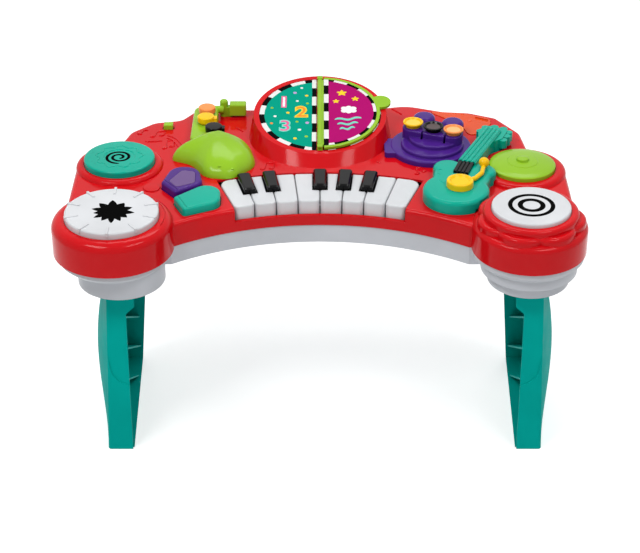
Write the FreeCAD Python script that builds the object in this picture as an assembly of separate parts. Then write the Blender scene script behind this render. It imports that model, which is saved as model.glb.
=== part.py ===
# A toddler's musical activity table. A red moulded top with a crescent plan
# carries eight white and five black piano keys, four drum pads, a horn, a drum
# kit, a guitar and a round picture book. A pale lower housing closes it from
# below and holds the batteries and the speaker, and two hollow leg panels plug
# into sockets under the front drums.
# Frame: +Z up, the child sits at -Y, origin on the floor at the middle of the
# table's outline. Millimetres.

import FreeCAD, Part

import math
import os

V = FreeCAD.Vector

# Heights
LEG_HEIGHT = 212.0
SOCKET_DROP = 16.0
BASE_HEIGHT = 22.0
TOP_HEIGHT = 28.0
SOCKET_Z = LEG_HEIGHT
BASE_Z = SOCKET_Z + SOCKET_DROP
PARTING_Z = BASE_Z + BASE_HEIGHT
DECK_Z = PARTING_Z + TOP_HEIGHT

# Walls and fits
WALL = 3.0
BASE_WALL = 2.5
MOVING_GAP = 0.6
SEAT_GAP = 0.3
SHAFT_GAP = 0.08
EDGE_ROUND = 5.0

# Plan of the table
FRONT_DRUM_X = 225.0
FRONT_DRUM_Y = -117.0
FRONT_HOUSING_R = 66.0
TOM_HOUSING_R = 63.0
REAR_DRUM_L = (-230.0, 22.0)
REAR_DRUM_R = (231.0, 10.0)
REAR_HOUSING_R = 50.0
FLANK_OUT = 55.0
FAN_Y = -357.0
BAY_R = 290.0
BASE_INSET = 1.0
BASE_DRUM_INSET = 5.0

# Piano keys, a fan about (0, FAN_Y)
WHITE_KEYS = 8
KEY_PITCH_DEG = 4.65
KEY_FRONT_R = 295.8
KEY_LENGTH = 65.7
KEY_TOP_RISE = -0.5
KEY_FRONT_HEIGHT = 14.0
KEY_WALL = 2.2
KEY_GAP = 0.9
BLACK_GAP = 1.0
KEY_PIN_R = 2.4
KEY_PIN_LENGTH = 12.0
KEY_TONGUE_WIDTH = 8.0
KEY_PIN_SETBACK = 10.0
KEY_PIN_DROP = 10.5
BLACK_AFTER_WHITE = (1, 2, 4, 5, 6)
BLACK_WIDTH = 15.5
BLACK_NOSE_R = 322.0
BLACK_RISE = 7.0
LEDGE_HEIGHT = 12.0
BOARD_THICK = 1.6
DOME_R = 4.0

# Drum pads
SNARE_R = 51.0
SNARE_RIM_RISE = 11.0
SNARE_PAD_RISE = 7.0
SNARE_RIBS = 10
TOM_R = 43.0
TOM_RIM_RISE = 19.0
TOM_PAD_RISE = 4.5
TOM_LOBES = 7
TOM_TIER_R = 60.0
DISC_R = 40.5
CYMBAL_R = 37.5
REAR_RIM_RISE = 5.0
REAR_PAD_RISE = 7.0
PAD_GAP = 0.6
PAD_TRAVEL = 2.5
PAD_PLATE = 2.5
PAD_LIP = 2.0

# Picture book, measured in its own tilted plane
BOOK_Y = 105.4
BOOK_RISE = 27.3
BOOK_TILT_DEG = 9.8
BOOK_R = 72.0
BOOK_RIM_WIDTH = 6.5
BOOK_FLARE = 5.5
BOOK_BASE_Y = 99.0
CARD_THICK = 1.2
LEAF_THICK = 3.0
LEAF_TAB_R = 87.0
LEAF_TAB_DEG = 16.0
SPINE_R = 3.2
SPINE_PIN_R = 1.6
SPINE_BLOCK = 6.0

# Legs
LEG_X_L = -218.0
LEG_X_R = 229.0
LEG_FRONT_Y = -147.0
LEG_DEPTH = 190.0
LEG_WIDTH_TOP = 31.0
LEG_WIDTH_FOOT = 30.0
LEG_SPLAY = 10.0
LEG_BULGE = 19.0
LEG_WALL = 2.8
LEG_PLUG_HEIGHT = 22.0
CUP_R = 48.0

# Batteries and boards in the base
BATTERY_R = 7.1
BATTERY_LENGTH = 50.5
BATTERY_COUNT = 3
BATTERY_CENTRE = (-40.0, 105.0)
SPEAKER_R = 25.0
SPEAKER_CENTRE = (52.0, 105.0)
SCREW_R = 1.5
SCREW_SPOTS = ((-263, -30), (-176, 92), (-100, 152), (95, 160), (168, 86), (267, -38), (-172, -88),
               (176, -84), (-66, 24), (66, 24))

# Horn
BELL_RISE = 26.0
HORN_RISE = 14.0
HORN_KEY_R = 10.0
HORN_KEY_TRAVEL = 2.0

# Drum kit
KIT_AT = (129.0, 64.0)
KIT_R = 47.0
KIT_RISE = 22.0
KIT_DISC_R = 11.8

# Guitar: the middle of its lower bout and the lean of its body
GUITAR_AT = (151.0, -58.0)
GUITAR_LEAN_DEG = 14.7
GUITAR_RISE = 15.0
GUITAR_BOUT_R = 37.0
LEVER_AT = (155.0, -55.0)
LEVER_R = 15.0
LEVER_PATH = ((163.0, -50.0), (173.0, -43.0), (181.0, -31.0), (185.0, -11.0))
LEVER_BALL_R = 6.0

# Pedals
PEDAL_RISE = 9.5
PEDAL_DEPTH = 10.0
PEDAL_PIN_R = 2.0

# Power slider
SLIDER_AT = (-181.0, 119.5)
SLIDER_TRAVEL = 2.5


def rounded_wire(points, z=0.0):
    """A closed wire through (x, y, corner radius) points, with tangent arcs at the corners."""
    count = len(points)
    corners = []
    for i, (x, y, radius) in enumerate(points):
        here = V(x, y, z)
        before = V(points[i - 1][0], points[i - 1][1], z) - here
        after = V(points[(i + 1) % count][0], points[(i + 1) % count][1], z) - here
        before.normalize()
        after.normalize()
        if radius <= 0:
            corners.append((here, None, here))
            continue
        half = before.getAngle(after) / 2
        reach = radius / math.tan(half)
        bisector = before + after
        bisector.normalize()
        centre = here + bisector * (radius / math.sin(half))
        corners.append((here + before * reach, centre - bisector * radius, here + after * reach))
    edges = []
    for i, (start, middle, end) in enumerate(corners):
        if middle is not None:
            edges.append(Part.Arc(start, middle, end).toShape())
        follows = corners[(i + 1) % count][0]
        if (follows - end).Length > 1e-6:
            edges.append(Part.LineSegment(end, follows).toShape())
    return Part.Wire(edges)


def rounded_prism(points, bottom, top):
    """The solid between two heights with a rounded_wire outline."""
    return Part.Face(rounded_wire(points, bottom)).extrude(V(0, 0, top - bottom))


def offset_prism(points, offset, bottom, top):
    """rounded_prism with its outline moved out by offset, or in where offset is negative."""
    wire = rounded_wire(points).makeOffset2D(offset)
    wire.translate(V(0, 0, bottom))
    return Part.Face(wire).extrude(V(0, 0, top - bottom))


def disc(x, y, radius, bottom, top):
    """A vertical cylinder."""
    return Part.makeCylinder(radius, top - bottom, V(x, y, bottom))


def ring(x, y, outer, inner, bottom, top):
    """A vertical tube."""
    return disc(x, y, outer, bottom, top).cut(disc(x, y, inner, bottom - 1, top + 1))


def arc_groove(x, y, radius, start_deg, end_deg, bottom, top):
    """A narrow curved bar about (x, y) between two bearings."""
    far = 2 * radius
    pie = [(x, y, 0)] + [(x + far * math.cos(math.radians(a)), y + far * math.sin(math.radians(a)), 0)
                         for a in (start_deg, end_deg)]
    return ring(x, y, radius + 0.6, radius - 0.6, bottom, top).common(rounded_prism(pie, bottom, top))


def turned(x, y, profile):
    """A solid of revolution about a vertical axis at (x, y) from (r, z) points. A third value rounds
    a corner."""
    wire = rounded_wire([(p[0], p[1], p[2] if len(p) > 2 else 0) for p in profile])
    wire.rotate(V(0, 0, 0), V(1, 0, 0), 90)
    wire.translate(V(x, y, 0))
    return Part.Face(wire).revolve(V(x, y, 0), V(0, 0, 1), 360)


def box(x0, y0, z0, x1, y1, z1):
    """A box between two corners."""
    return Part.makeBox(x1 - x0, y1 - y0, z1 - z0, V(x0, y0, z0))


def fuse(shapes):
    """One solid from overlapping solids."""
    first, *rest = shapes
    return first.fuse(rest).removeSplitter() if rest else first


def swung(shape, angle_deg):
    """A copy of a shape drawn on the key fan's middle line, swung to the right."""
    copy = shape.copy()
    copy.rotate(V(0, FAN_Y, 0), V(0, 0, 1), -angle_deg)
    return copy


def placed(shape, x, y, z=0.0, angle_deg=0.0):
    """A copy of a shape drawn at the origin, turned about Z and moved."""
    copy = shape.copy()
    copy.rotate(V(0, 0, 0), V(0, 0, 1), angle_deg)
    copy.translate(V(x, y, z))
    return copy


def edges_at(shape, test):
    """The edges whose middle point passes a test."""
    return [e for e in shape.Edges if test(e.valueAt((e.FirstParameter + e.LastParameter) / 2))]


def wedge(inner, outer, half_angle_deg, bottom, top):
    """A sector of the key fan about its middle line."""
    points = []
    for radius, angle in ((inner, -half_angle_deg), (inner, 0), (inner, half_angle_deg),
                          (outer, half_angle_deg), (outer, 0), (outer, -half_angle_deg)):
        a = math.radians(angle)
        points.append(V(radius * math.sin(a), FAN_Y + radius * math.cos(a), bottom))
    wire = Part.Wire([
        Part.Arc(points[0], points[1], points[2]).toShape(),
        Part.LineSegment(points[2], points[3]).toShape(),
        Part.Arc(points[3], points[4], points[5]).toShape(),
        Part.LineSegment(points[5], points[0]).toShape(),
    ])
    return Part.Face(wire).extrude(V(0, 0, top - bottom))


# Housing plan. The corners of the flanks run inside the rear drums, which
# give the outline its round ends there.
FLANK_L = -(FRONT_DRUM_X + FLANK_OUT)
FLANK_R = FRONT_DRUM_X + FLANK_OUT + 1
BODY_OUTLINE = (
    (FLANK_L, FRONT_DRUM_Y, 0),
    (FLANK_L, REAR_DRUM_L[1] + 8, 20),
    (REAR_DRUM_L[0] - 10, REAR_DRUM_L[1] + 38, 10),
    (-226, 110, 24),
    (-200, 136, 20),
    (-168, 143, 14),
    (-150, 172, 16),
    (60, 173, 20),
    (106, 184, 45),
    (150, 167, 30),
    (181, 164, 30),
    (213, 149, 8),
    (238, 108, 26),
    (REAR_DRUM_R[0] + 14, REAR_DRUM_R[1] + 38, 10),
    (FLANK_R, REAR_DRUM_R[1] + 8, 20),
    (FLANK_R, FRONT_DRUM_Y, 0),
)
KEY_HALF_FAN = WHITE_KEYS * KEY_PITCH_DEG / 2
KEY_BACK_R = KEY_FRONT_R + KEY_LENGTH
KEY_TOP_Z = DECK_Z + KEY_TOP_RISE
KEY_BOTTOM_Z = KEY_TOP_Z - KEY_FRONT_HEIGHT - 6
KEY_PIN_ROW_R = KEY_BACK_R + KEY_PIN_SETBACK
KEY_PIN_Z = DECK_Z - KEY_PIN_DROP
LEDGE_Z = PARTING_Z + LEDGE_HEIGHT
SNARE_RIM_Z = DECK_Z + SNARE_RIM_RISE
TOM_RIM_Z = DECK_Z + TOM_RIM_RISE
REAR_RIM_Z = DECK_Z + REAR_RIM_RISE
BOOK_Z = DECK_Z + BOOK_RISE
SNARE_AT = (-FRONT_DRUM_X, FRONT_DRUM_Y)
TOM_AT = (FRONT_DRUM_X + 3, FRONT_DRUM_Y + 2)


def body_prism(bottom, top, offset=0.0):
    """The crescent body without the drum housings and the book's mound."""
    outline = offset_prism(BODY_OUTLINE, offset, bottom, top) if offset else rounded_prism(
        BODY_OUTLINE, bottom, top)
    return outline.cut(disc(0, FAN_Y, BAY_R - offset, bottom - 1, top + 1))


def in_book(shape):
    """A copy of a shape drawn about the book's page plane, tilted and moved into the table."""
    copy = shape.copy()
    copy.rotate(V(0, 0, 0), V(1, 0, 0), BOOK_TILT_DEG)
    copy.translate(V(0, BOOK_Y, BOOK_Z))
    return copy


def book_mound(offset=0.0):
    """The round block under the book: upright below the deck, flared and tilted above it."""
    top_r = BOOK_R + BOOK_RIM_WIDTH
    low = Part.Wire(Part.makeCircle(top_r + BOOK_FLARE + offset, V(0, BOOK_BASE_Y, DECK_Z), V(0, 0, 1)))
    high = in_book(Part.Wire(Part.makeCircle(top_r + offset, V(0, 0, offset - BOOK_RIM_DROP), V(0, 0, 1))))
    cone = Part.makeLoft([low, high], True, True)
    return [disc(0, BOOK_BASE_Y, top_r + BOOK_FLARE + offset, PARTING_Z - (1 if offset else 0), DECK_Z), cone]


# In the book's plane the leaf's middle is at zero, its hinge line too.
BOOK_RIM_DROP = LEAF_THICK / 2 + 0.5
CARD_TOP = -(LEAF_THICK / 2 + 0.9)
CARD_FLOOR = CARD_TOP - CARD_THICK

# Drum housings of the top
TOM_WALL_Z = DECK_Z + 4
TOM_TIER_Z = DECK_Z + 12


def top_outer():
    """The outside of the red top."""
    body = body_prism(PARTING_Z, DECK_Z)
    top = edges_at(body, lambda m: abs(m.z - DECK_Z) < 1e-3 and m.y > FRONT_DRUM_Y + 0.5)
    body = body.makeFillet(EDGE_ROUND, top)
    x, y = SNARE_AT
    snare = turned(x, y, [(0, PARTING_Z), (FRONT_HOUSING_R, PARTING_Z),
                          (FRONT_HOUSING_R, SNARE_RIM_Z, 11), (0, SNARE_RIM_Z)])
    x, y = TOM_AT
    r = TOM_HOUSING_R
    tom = turned(x, y, [(0, PARTING_Z), (r, PARTING_Z), (r, TOM_WALL_Z, 7), (TOM_R + 9, TOM_WALL_Z),
                        (TOM_R + 9, TOM_RIM_Z, 4), (0, TOM_RIM_Z)])
    r = TOM_TIER_R / 2
    lobe = turned(r, 0, [(0, DECK_Z - 10), (r, DECK_Z - 10), (r, TOM_TIER_Z, 4.5), (0, TOM_TIER_Z)])
    lobes = [placed(lobe, x, y, 0, 250 + k * 360 / TOM_LOBES) for k in range(TOM_LOBES)]
    rear = [turned(x, y, [(0, PARTING_Z), (REAR_HOUSING_R, PARTING_Z), (REAR_HOUSING_R, REAR_RIM_Z, 6),
                          (0, REAR_RIM_Z)]) for x, y in (REAR_DRUM_L, REAR_DRUM_R)]
    return fuse([body, snare, tom] + lobes + rear + book_mound())


def top_cavity():
    """The hollow inside the red top, open below."""
    low = PARTING_Z - 1
    x, y = SNARE_AT
    spaces = [
        body_prism(low, DECK_Z - WALL, -WALL),
        disc(x, y, FRONT_HOUSING_R - WALL, low, SNARE_RIM_Z - 11),
        disc(x, y, SNARE_R + PAD_LIP + MOVING_GAP, low, SNARE_RIM_Z - WALL),
    ]
    x, y = TOM_AT
    spaces.append(disc(x, y, TOM_HOUSING_R - WALL, low, TOM_WALL_Z - 7))
    spaces.append(disc(x, y, TOM_R + 9 - WALL, low, TOM_RIM_Z - WALL))
    for x, y in (REAR_DRUM_L, REAR_DRUM_R):
        spaces.append(disc(x, y, REAR_HOUSING_R - WALL, low, REAR_RIM_Z - 6))
        spaces.append(disc(x, y, DISC_R + PAD_LIP + MOVING_GAP, low, REAR_RIM_Z - WALL))
    spaces += book_mound(-WALL - 0.5)
    ledge = wedge(BAY_R - 5, KEY_FRONT_R - 0.9, KEY_HALF_FAN + 1.5, low, LEDGE_Z + 20)
    return fuse(spaces).cut(ledge)


PEDAL_PURPLE = ((-178, -34, 3), (-161, -57.5, 3), (-131, -36.5, 14), (-138, 3, 18), (-168, 4, 17))
PEDAL_TEAL = ((-162, -69, 3), (-149, -98, 4), (-110, -79, 15), (-111, -45, 16), (-131, -39.5, 15))
LIGHT_OUTLINE = ((128, 167.5, 3), (150, 161.5, 26), (174, 159, 26), (205, 143, 5), (205, 129, 8),
                 (179, 92, 7), (170, 124, 20), (152, 144, 14))
HORN_KEYS_AT = ((-135.0, 131.0), (-135.0, 106.0), (-124.5, 80.0))
KIT_DISCS_AT = ((109.0, 81.0), (132.0, 70.0), (155.0, 62.0))
KIT_BLOCK = ((93, 73, 12), (159.7, 45.5, 12), (169.9, 70.3, 12), (103.2, 97.8, 12))
LOW_Z = KEY_PIN_Z - 9


PEDAL_STUD_Z = DECK_Z - PEDAL_DEPTH - 6
PEDAL_BOARD_Z = PEDAL_STUD_Z - 2.0 - 2.2


def pedal_middle(outline):
    """The point of a pedal that stands over its switch."""
    return sum(p[0] for p in outline) / len(outline), sum(p[1] for p in outline) / len(outline)


def pedal_hinge(outline):
    """The middle, half width and direction of a pedal's flat end, where its pins lie."""
    ax, ay = outline[0][:2]
    bx, by = outline[1][:2]
    length = math.hypot(bx - ax, by - ay)
    along = V((bx - ax) / length, (by - ay) / length, 0)
    inward = V(-along.y, along.x, 0)
    middle = V((ax + bx) / 2, (ay + by) / 2, 0) + inward * 5.0
    return middle, length / 2, along, inward


def pedal_cheeks(outline):
    """Two ears under the deck with bores for a pedal's pins."""
    middle, half, along, inward = pedal_hinge(outline)
    pin_z = DECK_Z - PEDAL_DEPTH + PEDAL_PIN_R + 1
    angle = math.degrees(math.atan2(along.y, along.x))
    ears = []
    for side in (-1, 1):
        near = side * (half + 1.6)
        far = side * (half + 4.6)
        ears.append(placed(box(min(near, far), -4, pin_z - 4, max(near, far), 4, DECK_Z - WALL + 0.5),
                           middle.x, middle.y, 0, angle))
    bore = Part.makeCylinder(PEDAL_PIN_R + SHAFT_GAP, 2 * half + 12, V(-half - 6, 0, pin_z), V(1, 0, 0))
    return ears, placed(bore, middle.x, middle.y, 0, angle)


def top_housing():
    """The red moulded top: one shell with raised drum housings, the book's mound and every well."""
    shell = top_outer().cut(top_cavity())
    cuts = [
        wedge(BAY_R - 5, KEY_BACK_R + 1.0, KEY_HALF_FAN + 0.25, LEDGE_Z, DECK_Z + 20),
        wedge(KEY_FRONT_R - 0.9, KEY_BACK_R + 1.0, KEY_HALF_FAN + 0.25, PARTING_Z - 1, DECK_Z + 1),
        disc(*SNARE_AT, SNARE_R + PAD_GAP, PARTING_Z, SNARE_RIM_Z + 1),
        disc(*TOM_AT, TOM_R + PAD_GAP, PARTING_Z, TOM_RIM_Z + 1),
        disc(*REAR_DRUM_L, DISC_R + PAD_GAP, PARTING_Z, REAR_RIM_Z + 1),
        disc(*REAR_DRUM_R, CYMBAL_R + PAD_GAP, PARTING_Z, REAR_RIM_Z + 1),
        in_book(disc(0, 0, BOOK_R, CARD_FLOOR, 5)),
        offset_prism(PEDAL_PURPLE, 0.8, PARTING_Z, DECK_Z + 1),
        offset_prism(PEDAL_TEAL, 0.8, PARTING_Z, DECK_Z + 1),
        offset_prism(LIGHT_OUTLINE, SEAT_GAP, DECK_Z - 1.6, DECK_Z + 1),
        offset_prism(LIGHT_OUTLINE, -2.5, PARTING_Z, DECK_Z + 1),
        box(SLIDER_AT[0] - 4.5 - SLIDER_TRAVEL, SLIDER_AT[1] - 2.6, PARTING_Z,
            SLIDER_AT[0] + 4.5 + SLIDER_TRAVEL, SLIDER_AT[1] + 2.6, DECK_Z + 1),
    ]
    adds = [turned(-189.2, -32,
                   [(0, DECK_Z - 1), (9.8, DECK_Z - 1), (9.8, DECK_Z + 1.4, 1), (0, DECK_Z + 1.4)])]
    cuts.append(arc_groove(*SNARE_AT, 57.6, -20, 65, SNARE_RIM_Z - 1.3, SNARE_RIM_Z + 1))
    for x, y in SCREW_SPOTS:
        adds.append(disc(x, y, 4.0, PARTING_Z, DECK_Z - WALL + 0.5))
        cuts.append(disc(x, y, SCREW_R + SHAFT_GAP, PARTING_Z - 1, PARTING_Z + 12))
    for outline in (PEDAL_PURPLE, PEDAL_TEAL):
        ears, bore = pedal_cheeks(outline)
        adds += ears
        cuts.append(bore)
    return fuse([shell] + adds).cut(cuts)


def pad(x, y, radius, rim_z, rise, crown=()):
    """A drum pad: a cap through the rim, a lip below it and a stud over its switch. crown gives
    (r, z above the rim) points of the top from the edge to the middle, or nothing for a flat one."""
    lip_top = rim_z - WALL - SEAT_GAP
    lip_low = lip_top - 1.8
    under = rim_z + rise - PAD_PLATE
    top = [(r, rim_z + z) for r, z in crown] or [(radius, rim_z + rise, 2.2), (0, rim_z + rise)]
    cap = turned(x, y, [(0, under), (radius - PAD_PLATE, under), (radius - PAD_PLATE, lip_low),
                        (radius + PAD_LIP, lip_low), (radius + PAD_LIP, lip_top), (radius, lip_top)] + top)
    stud = disc(x, y, 5, pad_board_top(rim_z) + DOME_HEIGHT + PAD_TRAVEL + 0.2, under + 0.5)
    return cap.fuse(stud)


DOME_HEIGHT = 2.0


def pad_board_top(rim_z):
    """The height of the switch board under a pad."""
    return rim_z - WALL - SEAT_GAP - 1.8 - PAD_TRAVEL - 3.0


PADS = (
    (SNARE_AT, SNARE_R, SNARE_RIM_Z), (TOM_AT, TOM_R, TOM_RIM_Z),
    (REAR_DRUM_L, DISC_R, REAR_RIM_Z), (REAR_DRUM_R, CYMBAL_R, REAR_RIM_Z),
)


def snare_pad():
    """The white ribbed pad of the left front drum."""
    x, y = SNARE_AT
    cap = pad(x, y, SNARE_R, SNARE_RIM_Z, SNARE_PAD_RISE)
    top = SNARE_RIM_Z + SNARE_PAD_RISE
    rib = box(SNARE_R - 14, -1.3, top - 1.5, SNARE_R + 0.9, 1.3, top + 0.9)
    rib = rib.fuse(box(SNARE_R - 3, -1.3, SNARE_RIM_Z + PAD_TRAVEL + 0.5, SNARE_R + 0.9, 1.3, top))
    return fuse([cap] + [placed(rib, x, y, 0, 90 + k * 360 / SNARE_RIBS) for k in range(SNARE_RIBS)])


def scratch_pad():
    """The teal disc of the left rear drum, with a shallow dish in the middle."""
    x, y = REAR_DRUM_L
    cap = pad(x, y, DISC_R, REAR_RIM_Z, REAR_PAD_RISE)
    top = REAR_RIM_Z + REAR_PAD_RISE
    dish = turned(x, y, [(0, top - 0.8), (DISC_R - 23, top - 0.8), (DISC_R - 21, top + 1), (0, top + 1)])
    return cap.cut(dish)


def cymbal_pad():
    """The lime cymbal of the right rear drum: a low dome, a step and a boss."""
    x, y = REAR_DRUM_R
    crown = [(CYMBAL_R, 3.6), (CYMBAL_R - 1, 4.4), (CYMBAL_R - 9, 6.2), (18, 7.4), (17, 8.2), (7.5, 8.9),
             (7, 11.2), (5.5, 12), (0, 12)]
    return pad(x, y, CYMBAL_R, REAR_RIM_Z, 3.6, crown)


def pad_boards():
    """Round switch boards, the pads' on three posts of the base each and the pedals' on one."""
    boards = [disc(at[0], at[1], 24, pad_board_top(rim_z) - BOARD_THICK, pad_board_top(rim_z))
              for at, r, rim_z in PADS]
    boards += [disc(*pedal_middle(outline), 9, PEDAL_BOARD_Z - BOARD_THICK, PEDAL_BOARD_Z)
               for outline in (PEDAL_PURPLE, PEDAL_TEAL)]
    return Part.makeCompound(boards)


def pad_domes():
    """A rubber dome on each of those boards, drawn at the height it has when pressed."""
    domes = [Part.makeCone(8, 5, DOME_HEIGHT, V(at[0], at[1], pad_board_top(rim_z))) for at, r, rim_z in PADS]
    domes += [Part.makeCone(6, 4, DOME_HEIGHT, V(*pedal_middle(outline), PEDAL_BOARD_Z))
              for outline in (PEDAL_PURPLE, PEDAL_TEAL)]
    return Part.makeCompound(domes)


def post_spots(at):
    """Plan points of the three posts under a switch board."""
    return [(at[0] + 19 * math.cos(math.radians(a)), at[1] + 19 * math.sin(math.radians(a)))
            for a in (90, 210, 330)]


# Keys, drawn on the fan's middle line and swung to their places
def key_blank(front_r, width_front, width_back, top_z, bottom_z, corner):
    """The straight-sided outline of a key as a prism."""
    front = FAN_Y + front_r
    back = FAN_Y + KEY_BACK_R
    return ((-width_front / 2, front, corner), (width_front / 2, front, corner),
            (width_back / 2, back, 2.5), (-width_back / 2, back, 2.5)), bottom_z, top_z


def key_tail():
    """The tongue behind a key and the cross pin that it turns on."""
    back = FAN_Y + KEY_BACK_R
    row = FAN_Y + KEY_PIN_ROW_R
    half = KEY_TONGUE_WIDTH / 2
    tongue = box(-half, back - KEY_WALL, KEY_PIN_Z - KEY_PIN_R, half, row, KEY_PIN_Z + KEY_PIN_R)
    pin = Part.makeCylinder(KEY_PIN_R, KEY_PIN_LENGTH, V(-KEY_PIN_LENGTH / 2, row, KEY_PIN_Z), V(1, 0, 0))
    return tongue.fuse(pin)


def black_notch(grow):
    """The clearance round a black key, drawn on the fan's middle line."""
    half = BLACK_WIDTH / 2 + grow
    return box(-half, FAN_Y + BLACK_NOSE_R - grow, KEY_BOTTOM_Z - 5,
               half, FAN_Y + KEY_BACK_R + 5, DECK_Z + 20)


def white_key(number):
    """White key 1 to 8 from the left, hollow from below and notched beside the black keys."""
    widths = [2 * r * math.tan(math.radians(KEY_PITCH_DEG / 2)) - KEY_GAP for r in (KEY_FRONT_R, KEY_BACK_R)]
    outline, low, high = key_blank(KEY_FRONT_R, widths[0], widths[1], KEY_TOP_Z, KEY_BOTTOM_Z, 6)
    if number == 1:
        outline = outline[:3] + ((outline[3][0], outline[3][1], 12),)
    if number == WHITE_KEYS:
        outline = outline[:2] + ((outline[2][0], outline[2][1], 12), outline[3])
    body = rounded_prism(outline, low, high)
    body = body.makeFillet(2.0, edges_at(body, lambda m: abs(m.z - high) < 1e-3))
    hollow = offset_prism(outline, -KEY_WALL, low - 1, high - KEY_WALL)
    for side, neighbour in ((-1, number - 1), (1, number)):
        if neighbour in BLACK_AFTER_WHITE:
            body = body.cut(swung(black_notch(BLACK_GAP), side * KEY_PITCH_DEG / 2))
            hollow = hollow.cut(swung(black_notch(BLACK_GAP + 1.6), side * KEY_PITCH_DEG / 2))
    key = body.cut(hollow)
    stud_y = FAN_Y + KEY_FRONT_R + 17
    key = key.fuse([key_tail(), disc(0, stud_y, 3, key_stud_low(17), high - 1)])
    return swung(key.removeSplitter(), (number - (WHITE_KEYS + 1) / 2) * KEY_PITCH_DEG)


KEY_BOARD_Z = PARTING_Z + 0.5
KEY_TRAVEL_DEG = 2.5
BLACK_STUD_BACK = 14.0


def key_stud_low(setback):
    """The lower end of a key's stud, which stops just over its dome at full travel."""
    reach = KEY_LENGTH - setback + KEY_PIN_SETBACK
    return KEY_BOARD_Z + BOARD_THICK + 1.2 + reach * math.tan(math.radians(KEY_TRAVEL_DEG)) + 0.3


def black_key(number):
    """Black key 1 to 5 from the left: a narrow hollow bar with bevelled top edges."""
    low = KEY_BOTTOM_Z + 2
    high = KEY_TOP_Z + BLACK_RISE
    outline, low, high = key_blank(BLACK_NOSE_R, BLACK_WIDTH - 2, BLACK_WIDTH, high, low, 3)
    outline = outline[:2] + tuple((x, y - 0.3, r) for x, y, r in outline[2:])
    body = rounded_prism(outline, low, high)
    body = body.makeChamfer(1.8, edges_at(body, lambda m: abs(m.z - high) < 1e-3))
    key = body.cut(offset_prism(outline, -KEY_WALL, low - 1, high - KEY_WALL - 1))
    stud_y = FAN_Y + BLACK_NOSE_R + BLACK_STUD_BACK
    setback = BLACK_NOSE_R - KEY_FRONT_R + BLACK_STUD_BACK
    key = key.fuse([key_tail(), disc(0, stud_y, 3, key_stud_low(setback), high - 2)])
    return swung(key.removeSplitter(), (BLACK_AFTER_WHITE[number - 1] - WHITE_KEYS / 2) * KEY_PITCH_DEG)


KEY_ANGLES = [(n - (WHITE_KEYS + 1) / 2) * KEY_PITCH_DEG for n in range(1, WHITE_KEYS + 1)] + [
    (n - WHITE_KEYS / 2) * KEY_PITCH_DEG for n in BLACK_AFTER_WHITE]


def key_rail():
    """The curved rail behind the keys: a bar with a pair of bored ears for each key's pin."""
    bar = wedge(KEY_PIN_ROW_R - 5, KEY_PIN_ROW_R + 6, KEY_HALF_FAN + 0.4, LOW_Z, LOW_Z + 3.5)
    row = FAN_Y + KEY_PIN_ROW_R
    near = KEY_TONGUE_WIDTH / 2 + 0.5
    spacing = KEY_PIN_ROW_R * math.radians(KEY_PITCH_DEG) / 2
    thick = min(2.0, (spacing - 2 * near - 0.5) / 2)
    ear = box(near, row - 4, LOW_Z + 3, near + thick, row + 4, KEY_PIN_Z + 4)
    pair = ear.fuse(ear.mirror(V(0, 0, 0), V(1, 0, 0)))
    pair = pair.cut(Part.makeCylinder(KEY_PIN_R + SHAFT_GAP, 20, V(-10, row, KEY_PIN_Z), V(1, 0, 0)))
    return fuse([bar] + [swung(pair, angle) for angle in KEY_ANGLES])


def key_board():
    """The curved switch board under the keys."""
    return wedge(KEY_FRONT_R + 6, KEY_FRONT_R + 50, KEY_HALF_FAN - 1, KEY_BOARD_Z, KEY_BOARD_Z + BOARD_THICK)


def key_domes():
    """One rubber dome under each key's stud, drawn at its pressed height."""
    base = KEY_BOARD_Z + BOARD_THICK
    white = Part.makeCone(DOME_R + 1, DOME_R - 1, 1.2, V(0, FAN_Y + KEY_FRONT_R + 17, base))
    black = Part.makeCone(DOME_R + 1, DOME_R - 1, 1.2, V(0, FAN_Y + BLACK_NOSE_R + BLACK_STUD_BACK, base))
    return Part.makeCompound([swung(white, a) for a in KEY_ANGLES[:WHITE_KEYS]] +
                             [swung(black, a) for a in KEY_ANGLES[WHITE_KEYS:]])


# Horn
HORN_OUTLINE = ((-151, 151, 10), (-152, 60, 12), (-124, 60, 10), (-110, 80, 12), (-122, 98, 10),
                (-122, 151, 10))
BELL_OUTLINE = ((-174, 36, 6), (-148, 24, 26), (-130, -8, 20), (-99, -13, 24), (-73, 20, 26), (-80, 56, 24),
                (-113, 80, 16), (-152, 64, 18))
BELL_PEAK = (-119.0, 56.0)


def shrunk(points, about, factor, corner=1.0):
    """An outline drawn in towards a point."""
    return [(about[0] + (x - about[0]) * factor, about[1] + (y - about[1]) * factor, r * factor * corner)
            for x, y, r in points]


def horn_bell():
    """The smooth teardrop of the horn's bell, a loft of drawn-in outlines."""
    sections = [(0.0, 1.0), (0.25, 0.965), (0.5, 0.86), (0.75, 0.64), (0.93, 0.36), (1.0, 0.14)]
    wires = [rounded_wire(shrunk(BELL_OUTLINE, BELL_PEAK, f), DECK_Z + BELL_RISE * h) for h, f in sections]
    return Part.makeLoft(wires, True, False).cut([horn_block(SEAT_GAP)] + horn_key_room())


def horn_block(grow=0.0):
    """The horn's valve block."""
    return offset_prism(HORN_OUTLINE, grow, DECK_Z, DECK_Z + HORN_RISE) if grow else rounded_prism(
        HORN_OUTLINE, DECK_Z, DECK_Z + HORN_RISE)


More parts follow.
